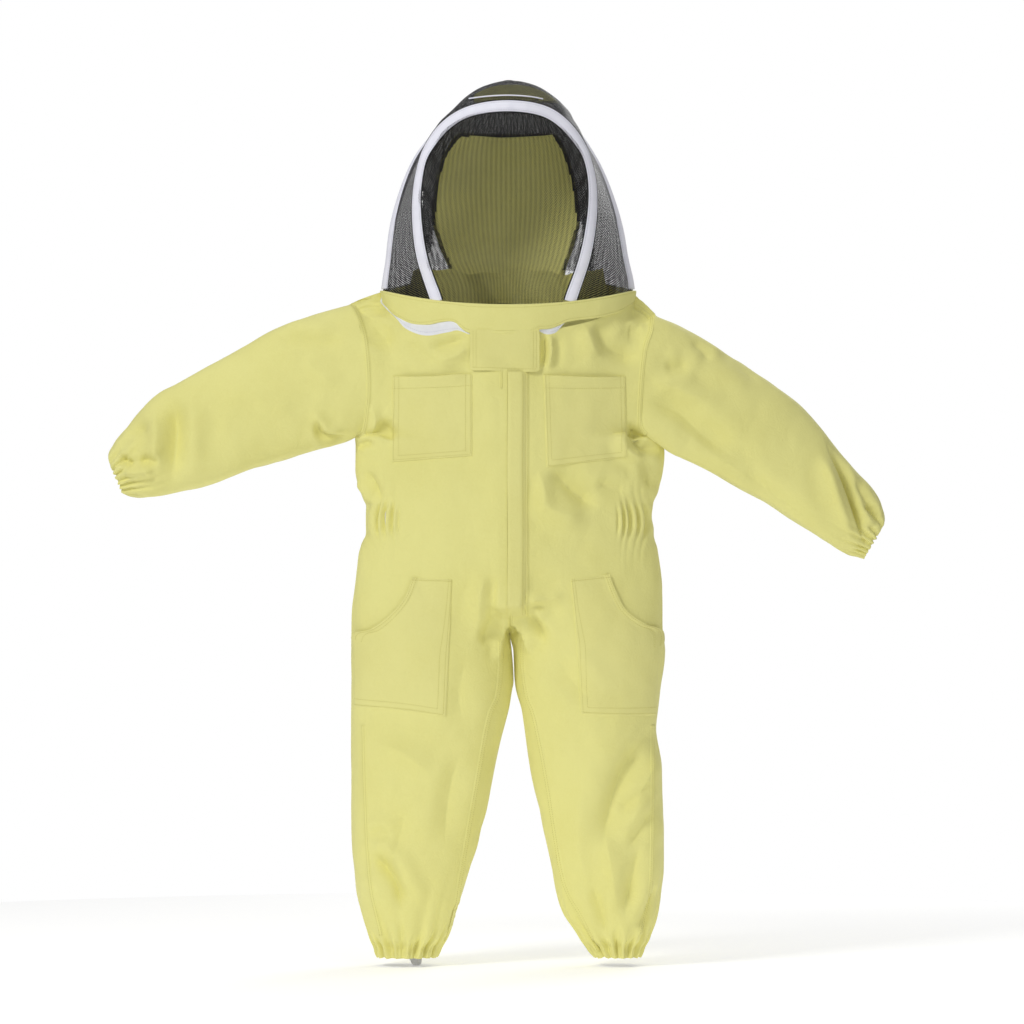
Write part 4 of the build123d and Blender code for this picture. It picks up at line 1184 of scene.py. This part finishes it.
def band_ring(share, out):
    """A ring of the collar band, from its lower edge (0) to its top (1), in millimetres."""
    c, s = np.cos(turns), np.sin(turns)
    x_top, y_top = 184.0 * c, np.where(s < 0, 85.0, 85.5) * s
    bow = np.abs(c) ** 2.2
    z_top = np.where(s < 0, -9.5 + 23 * bow, 43 - 29.5 * bow)
    x_low, y_low = 183.5 * c, 82.5 * s
    z_low = np.where(y_low < 0, band_low(x_low), -2 + 34 * np.clip(y_low / 80, 0, 1) ** 0.9)
    x = x_low + (x_top - x_low) * share
    y = y_low + (y_top - y_low) * share
    z = z_low + (z_top - z_low) * share
    y = y - np.exp(-(x / 60) ** 2) * (s < 0) * (1 - share) * 1.8
    waviness = 3.2 * np.sin(turns * 9 + share * 2) * share * (1 - share)
    waviness += 0.5 * np.sin(turns * 23 + 1) * (1 - share) ** 2
    return np.stack([x, y, z], axis=1) + oval_normals(turns, 184, 85) * (out + waviness)[:, None]


band_out = oval_normals(turns, 184, 85)


def hoop_of_cloth(name, rings, thick, sewn, mats, slot, node):
    """A closed band through rings of points, in millimetres, with rows of thread along some of them."""
    build = Build()
    build.slab(np.stack(rings) * MM, np.repeat(band_out[None], len(rings), axis=0), thick, closed=True)
    for k in sewn:
        build.stitches(closed_ring(rings[k]) * MM, closed_ring(band_out))
    placed(build.make(name, mats), "hood", slot, node)


shares = (-0.02, 0.0, 0.03, 0.07, 0.1, 0.13, 0.2, 0.35, 0.5, 0.65, 0.8, 0.87, 0.9, 0.93, 0.97, 1.0, 1.01)
lifts = (-0.6, 0.5, 1.0, 1.1, 0.6, 1.1, 1.3, 1.8, 2.2, 2.5, 2.9, 3.1, 2.6, 3.2, 3.2, 2.8, 1.4)
hoop_of_cloth("collar_band_cloth", [band_ring(*pair) for pair in zip(shares, lifts)], 1.6, (12, 4),
              [cotton_mat, stitch_mat], "yellow_cotton", "collar_band")
# the upper zip tape, sewn inside the band's lower edge
hoop_of_cloth("neck_zip_upper_band", [band_ring(*pair) for pair in ((0.30, -2.2), (0.2, -2.4), (0.1, -2.4),
                                                                    (0.02, -2.2), (0.0, -1.6))],
              0.7, (2,), [tape_mat, white_stitch_mat], "white_tape", "neck_zip_upper_tape")

# the lower zip tape, showing below the band where the cloth sags away from it
build = Build()
for top_line, low_line in (
        ([(-184, 6), (-176, 0), (-159, -12), (-146, -20), (-128, -24), (-114, -23), (-99, -21), (-85, -20), (-75, -22),
          (-66, -30), (-52, -38)],
         [(-187, -3), (-178, -13), (-161, -30), (-151, -42), (-138.7, -49.5), (-125.6, -54.4), (-111, -55),
          (-99, -52.6), (-85, -49.6), (-73, -47), (-56, -53)]),
        ([(37, -36), (47, -32), (60, -30), (75, -25), (95, -20), (120, -14), (150, -4), (181, 8)],
         [(41.5, -46), (50, -51), (60, -52.8), (70, -49.6), (79, -39), (92, -29.5), (121, -23.5),
          (152, -12), (182, 3)])):
    rows = np.linspace(0, 1, 7)[:, None]
    grid = path(top_line, 60)[None] * (1 - rows[..., None]) + path(low_line, 60)[None] * rows[..., None]
    points, facing = drape(grid, np.array([0.8, 1.4, 1.5, 1.2, 1.7, 1.5, -0.2])[:, None])
    hoop_y = -81.6 * np.sqrt(np.clip(1 - (grid[..., 0] / 184) ** 2, 0, 1)) * MM
    # its upper edge leaves the cloth and joins the band
    joined = np.stack([grid[..., 0] * MM, np.minimum(points[..., 1], hoop_y), grid[..., 1] * MM], axis=-1)
    above = np.where(points[..., 1] > -0.025, 1.0, smooth(0.6, 0.3, rows))[..., None]
    points = points * (1 - above) + joined * above
    build.slab(points, facing, 0.7)
    build.stitches(points[5], facing[5])
placed(build.make("neck_zip_lower_band", [tape_mat, white_stitch_mat]), "coverall", "white_tape", "neck_zip_lower_tape")

# the neck zip's other half at the back of the coverall
back_turns = np.linspace(0.05, math.pi - 0.05, 120)
x = 182.5 * np.cos(back_turns)
rim = np.stack([x, 80.5 * np.sin(back_turns), np.interp(np.abs(x), *np.transpose(neck_back)) - 1.5], axis=1)
ribbon(rim, oval_normals(back_turns, 182, 80), 6, 2.0, "neck_zip_back_band", [tape_mat, white_stitch_mat],
       "white_tape", body="coverall")

# the collar's folded lining, seen through the face net
FU, FV = np.meshgrid(np.linspace(-1, 1, 90), np.linspace(0, 1, 26))
lx = FU * (150 - 12 * FV)
ly = 74 - 40 * FU ** 2 - 10 * FV + 7 * np.sin(FU * 9 + 1.5 * FV) * (0.4 + FV) + 4 * np.sin(FU * 17 + FV * 3)
lz = -2 + 46 * FV - 14 * FU ** 2 * (1 - FV) + 3.5 * np.sin(FU * 7 + 0.5) * FV + 2 * np.sin(FU * 19) * FV
lining = np.stack([lx, ly, lz], axis=-1) * MM
lining_out = grid_normals(lining)
build = Build()
build.slab(lining, lining_out, 1.2)
for row in (22, 3):
    build.stitches(lining[row, 2:-2], lining_out[row, 2:-2])
# the collar lining also wears the cotton painted lighter against the shade inside the hood
placed(build.make("collar_lining", [lightened_hood_cotton_mat, stitch_mat]), "hood", "yellow_cotton")


# ------------------------------------------------------------------ elastics, loops and the small hard parts
def elastic_ring(name, middle, half_x, half_y, axis, wide, node, body):
    """A ribbed elastic band inside a hem: an oval loop about an axis in the XZ plane. Millimetres."""
    axis = unit(np.array(axis, float))
    across = np.array([axis[2], 0, -axis[0]])
    turn = np.linspace(0, 2 * math.pi, 121)[:-1]
    rows = np.linspace(-0.5, 0.5, 6) * wide
    crimp = 1 + 0.02 * np.sin(turn * 40)
    ring = (across * (half_x * np.cos(turn) * crimp)[:, None]
            + np.array([0, 1, 0]) * (half_y * np.sin(turn) * crimp)[:, None])
    spots = np.array(middle) + ring[None] + axis * rows[:, None, None]
    build = Build()
    build.slab(spots * MM, np.repeat(unit(ring)[None], len(rows), axis=0), 1.0, closed=True)
    placed(build.make(name, [elastic_mat]), body, "elastic", node)


elastic_ring("right_ankle_band", (-149, 0, -942), 37, 26, (0, 0, 1), 12, "right_ankle_elastic", "right_trouser_leg")
elastic_ring("left_ankle_band", (154, 0, -942), 31, 24, (0, 0, 1), 12, "left_ankle_elastic", "left_trouser_leg")
elastic_ring("right_cuff_band", (-558.5, 0, -256), 15, 12, (-0.92, 0, -0.39), 10, "right_cuff_elastic", "right_arm")
elastic_ring("left_cuff_band", (521.0, 0, -348.5), 14, 12, (0.87, 0, -0.49), 10, "left_cuff_elastic", "left_arm")
for side, name in ((-1, "right"), (1, "left")):
    spots = np.stack(np.meshgrid(np.linspace(142, 172, 20) * side, np.linspace(-302, -340, 8)), axis=-1)
    build = Build()
    for back in (False, True):
        build.slab(*drape(spots, -11, back), 1.0)
    placed(build.make(name + "_waist_band", [elastic_mat]), "coverall", "elastic", name + "_waist_elastic")


def strap_loop(name, line, twist, wide, body, node):
    """A flat elastic strap along a line in the XZ plane, turning about its own length."""
    x, z = path(line, 60).T
    middle = np.stack([x, 0 * x, z], axis=1)
    along = unit(np.gradient(middle, axis=0))
    turn = np.interp(np.linspace(0, 1, 60), np.linspace(0, 1, len(twist)), np.radians(twist))[:, None]
    flat = np.array([0, 1.0, 0]) * np.cos(turn) + np.cross(along, np.array([0, 1, 0])) * np.sin(turn)
    face = np.cross(along, flat)
    share = np.linspace(-0.5, 0.5, 9)
    ribs = 0.12 * np.sin(np.arange(9) * 2.4)
    spots = middle[:, None] + flat[:, None] * (share * wide)[None, :, None] + face[:, None] * ribs[None, :, None]
    build = Build()
    build.slab(spots * MM, np.repeat(face[:, None], 9, axis=1), 1.3)
    placed(build.make(name, [elastic_mat]), body, "elastic", node)


strap_loop("right_stirrup", [(-165, -934), (-163, -945), (-156, -952), (-147, -956), (-139.5, -960), (-136, -967),
                             (-131.5, -967.5), (-130, -959), (-129, -948), (-129, -934)],
           [0, 40, 75, 85, 85, 70, 60, 45, 20, 0], 9.5, "right_loop", "right_foot_loop")
strap_loop("left_stirrup", [(130, -934), (130, -945), (136, -951), (148, -953), (160, -951), (166, -945), (166, -934)],
           [0, 0, 0, 10, 0, 0, 0], 12.5, "left_loop", "left_foot_loop")

for node, mat in (("right_front_zip_teeth", plastic_mat), ("left_front_zip_teeth", plastic_mat),
                  ("front_zip_stop", plastic_mat), ("front_zip_slider", metal_mat), ("front_zip_pull", metal_mat),
                  ("right_neck_zip_slider", metal_mat), ("left_neck_zip_slider", metal_mat)):
    for mesh_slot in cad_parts[node].material_slots:
        mesh_slot.material = mat


# ------------------------------------------------------------------ camera, light and floor
def area(name, place, target, size, power):
    lamp = bpy.data.lights.new(name, "AREA")
    lamp.shape, lamp.size, lamp.energy = "SQUARE", size, power
    obj = bpy.data.objects.new(name, lamp)
    bpy.context.collection.objects.link(obj)
    obj.location = place
    obj.rotation_euler = (Vector(target) - Vector(place)).to_track_quat("-Z", "Y").to_euler()


area("key_light", (-1.9, -2.2, 1.6), (0, 0, -0.35), 0.85, 48)
area("fill_light", (1.1, -3.3, 0.2), (0, 0, -0.2), 1.6, 15)
area("back_light", (1.4, 2.6, 1.2), (0, 0, -0.3), 1.6, 28)
area("top_light", (0.3, 0.2, 2.4), (0, 0, -0.3), 1.6, 12)
WHITE = (1, 1, 1, 1)
floor_mat, _, floor_shader = new_material("studio_floor", (0.9, 0.9, 0.9), 0.9)
fill(floor_shader, {"Emission Color": WHITE, "Emission Strength": 0.35})
turn = np.linspace(0, 2 * math.pi, 97)[:-1]
ring = np.stack([1.6 * np.cos(turn), 1.6 * np.sin(turn), np.full(96, min(cad_low[2], -0.9706) - 0.001)], axis=1)
wear(mesh_object("studio_floor", ring, [range(96)]), floor_mat)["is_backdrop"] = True
# the camera sees a white backdrop that is brighter than the light it casts
world = bpy.data.worlds.new("studio")
world.use_nodes = True
sky = world.node_tree
fill(sky.nodes["Background"], {"Color": WHITE, "Strength": 0.335})
backdrop = add(sky, "Background", "Background", {"Color": WHITE, "Strength": 1.0})
shade = add(sky, "MixShader", "Shader", {"Fac": add(sky, "LightPath", "Is Camera Ray", {}),
                                         1: sky.nodes["Background"].outputs["Background"], 2: backdrop})
fill(sky.nodes["World Output"], {"Surface": shade})
bpy.context.scene.world = world
bpy.context.scene.view_settings.view_transform = "Standard"

camera = bpy.data.cameras.new("camera")
camera.type, camera.sensor_width, camera.lens = "PERSP", 36, 200
view = bpy.data.objects.new("camera", camera)
bpy.context.collection.objects.link(view)
width = 1.495
view.location = (0.0058, -width * camera.lens / camera.sensor_width, -0.3095)
view.rotation_euler = (math.pi / 2, 0, 0)
bpy.context.scene.camera = view

low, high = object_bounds()
